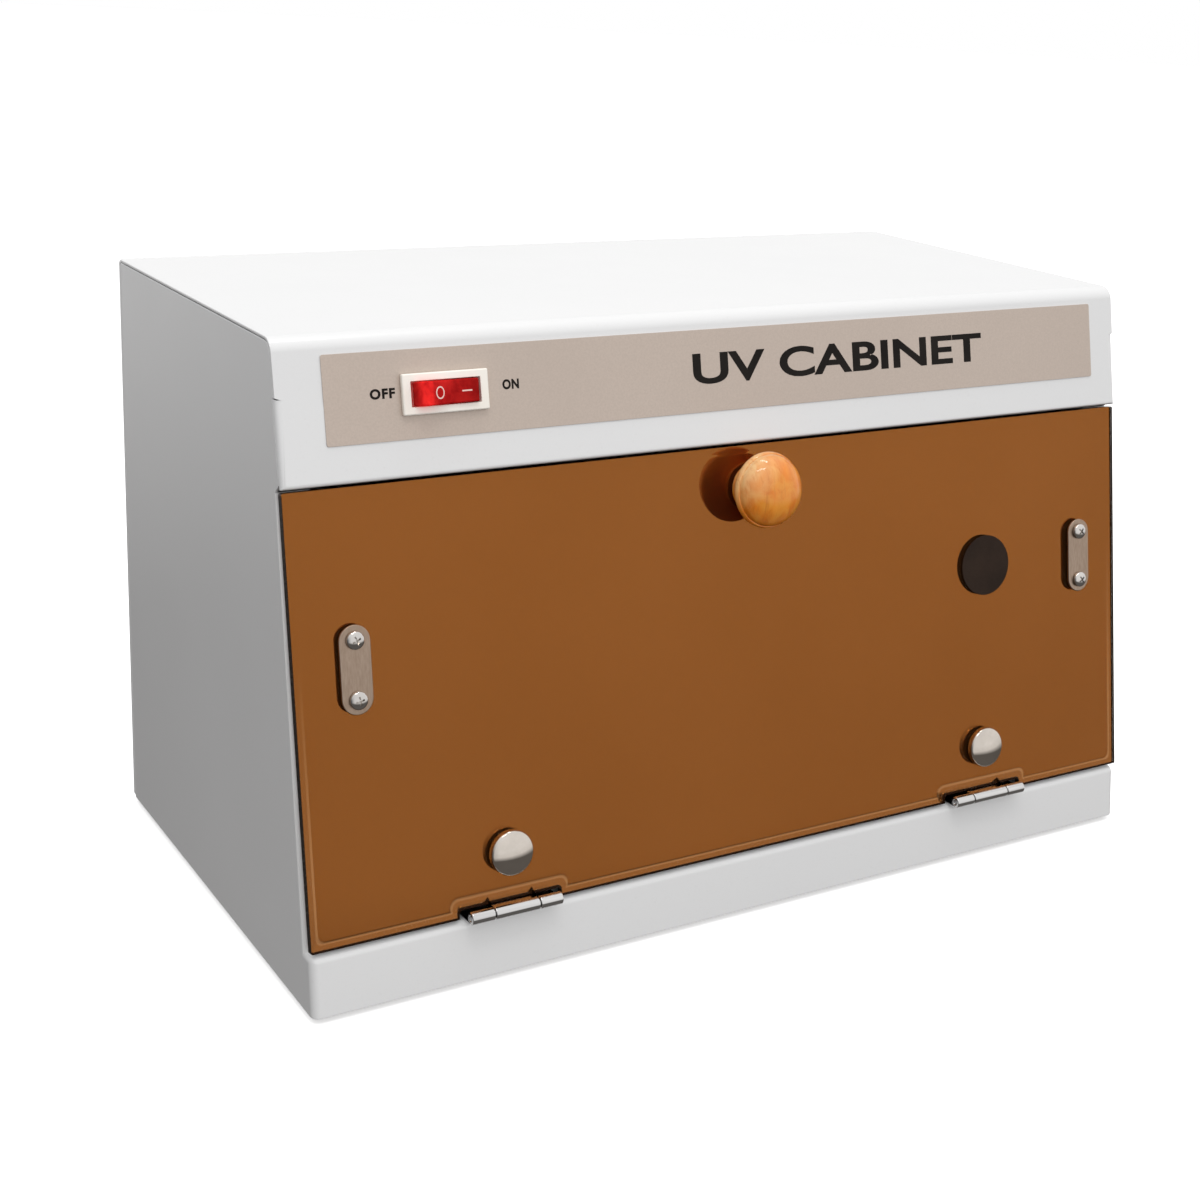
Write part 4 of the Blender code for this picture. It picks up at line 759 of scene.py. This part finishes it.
def make_floor():
    """A plain white floor; the object takes its light from the studio's dome alone."""
    made, tree, shader = new_look("studio_floor", (0.93, 0.93, 0.93), 0.6)
    soft = spread(tree, noise(tree, 3, 2), 0.3, 0.7)
    paint(tree, shader, blend_colours(tree, soft, (0.94, 0.94, 0.94), (0.92, 0.92, 0.925)))
    shader.inputs["Emission Color"].default_value = (1, 1, 1, 1)
    shader.inputs["Emission Strength"].default_value = 0.45
    bm = bmesh.new()
    bmesh.ops.create_grid(bm, x_segments=2, y_segments=2, size=FLOOR_SIZE)
    mesh = bpy.data.meshes.new("floor")
    bm.to_mesh(mesh)
    bm.free()
    mesh.materials.append(made)
    floor = bpy.data.objects.new("floor", mesh)
    floor.visible_diffuse = False
    floor.visible_glossy = False
    bpy.context.scene.collection.objects.link(floor)


def make_backdrop():
    """A far white wall that only the camera sees, so that low views end in plain white too."""
    made, tree, shader = new_look("studio_wall", (0, 0, 0), 1.0, Specular_IOR_Level=0.0)
    shader.inputs["Emission Color"].default_value = (1, 1, 1, 1)
    shader.inputs["Emission Strength"].default_value = 1.0
    made.cycles.emission_sampling = "NONE"
    bm = bmesh.new()
    turns = [2 * math.pi * i / BACKDROP_SIDES for i in range(BACKDROP_SIDES)]
    rings = [[bm.verts.new((BACKDROP_RADIUS * math.cos(a), BACKDROP_RADIUS * math.sin(a), z))
              for a in turns] for z in (-1, BACKDROP_RADIUS)]
    for i in range(BACKDROP_SIDES):
        j = (i + 1) % BACKDROP_SIDES
        bm.faces.new((rings[0][i], rings[0][j], rings[1][j], rings[1][i]))
    mesh = bpy.data.meshes.new("backdrop")
    bm.to_mesh(mesh)
    bm.free()
    mesh.materials.append(made)
    wall = bpy.data.objects.new("backdrop", mesh)
    for rays in ("diffuse", "glossy", "transmission", "volume_scatter", "shadow"):
        setattr(wall, "visible_" + rays, False)
    bpy.context.scene.collection.objects.link(wall)


def make_world():
    """A studio dome: white above, in front and at the right, dim at the left and below."""
    world = bpy.data.worlds.new("studio")
    bpy.context.scene.world = world
    world.use_nodes = True
    tree = world.node_tree
    coords = tree.nodes.new("ShaderNodeTexCoord")
    axes = tree.nodes.new("ShaderNodeSeparateXYZ")
    tree.links.new(coords.outputs["Generated"], axes.inputs["Vector"])
    side = spread(tree, axes.outputs["X"], -0.88, -0.20)
    around = blend_colours(tree, side, (0.17, 0.173, 0.18), (0.93, 0.93, 0.93))
    rise = spread(tree, axes.outputs["Z"], 0.05, 0.85)
    above = blend_colours(tree, rise, around, (1.0, 1.0, 1.0))
    dip = spread(tree, axes.outputs["Z"], 0.02, -0.20)
    ground = blend_colours(tree, side, (0.14, 0.14, 0.15), (0.80, 0.79, 0.78))
    below = blend_colours(tree, dip, above, ground)
    deep = spread(tree, axes.outputs["Z"], -0.17, -0.32)
    whole = blend_colours(tree, deep, below, (0.13, 0.122, 0.115))
    tree.links.new(whole, tree.nodes["Background"].inputs["Color"])


def add_light(name, place, aim, size, power, colour=(1, 1, 1)):
    light = bpy.data.lights.new(name, "AREA")
    light.shape = "RECTANGLE"
    light.size, light.size_y = size
    light.energy = power
    light.color = colour
    made = bpy.data.objects.new(name, light)
    made.location = place
    made.rotation_euler = (Vector(aim) - Vector(place)).to_track_quat("-Z", "Y").to_euler()
    bpy.context.scene.collection.objects.link(made)
    return made


def make_camera():
    """The camera's place, aim and roll, with a long lens and the frame's offset."""
    camera = bpy.data.cameras.new("camera")
    camera.sensor_width = 36
    camera.lens = FOCAL / FRAME_SIZE * camera.sensor_width
    camera.shift_x = (FRAME_SIZE / 2 - FRAME_CENTRE[0]) / FRAME_SIZE
    camera.shift_y = (FRAME_CENTRE[1] - FRAME_SIZE / 2) / FRAME_SIZE
    camera.clip_start = 0.05
    camera.clip_end = 50
    azimuth, elevation, roll = (math.radians(a) for a in CAMERA_TURN)
    back = Vector((math.sin(azimuth) * math.cos(elevation),
                   -math.cos(azimuth) * math.cos(elevation), math.sin(elevation)))
    right = (-back).cross(Vector((0, 0, 1))).normalized()
    up = right.cross(-back)
    across = math.cos(roll) * right + math.sin(roll) * up
    rise = math.cos(roll) * up - math.sin(roll) * right
    turn = Matrix((across, rise, back)).transposed()
    made = bpy.data.objects.new("camera", camera)
    made.matrix_world = Matrix.Translation(CAMERA_AT) @ turn.to_4x4()
    bpy.context.scene.collection.objects.link(made)
    bpy.context.scene.camera = made


make_floor()
make_backdrop()
make_world()
for name, place in KEY_LIGHTS:
    add_light(name, place, (0, 0, 0.15), (0.70, 0.13), 3.0, KEY_COLOUR)
fill = add_light("fill", (-0.55, -1.6, 0.55), (0, 0, 0.1), (0.7, 0.9), 4.8)
fill.visible_glossy = False
make_camera()
bpy.context.scene.view_settings.view_transform = "Standard"
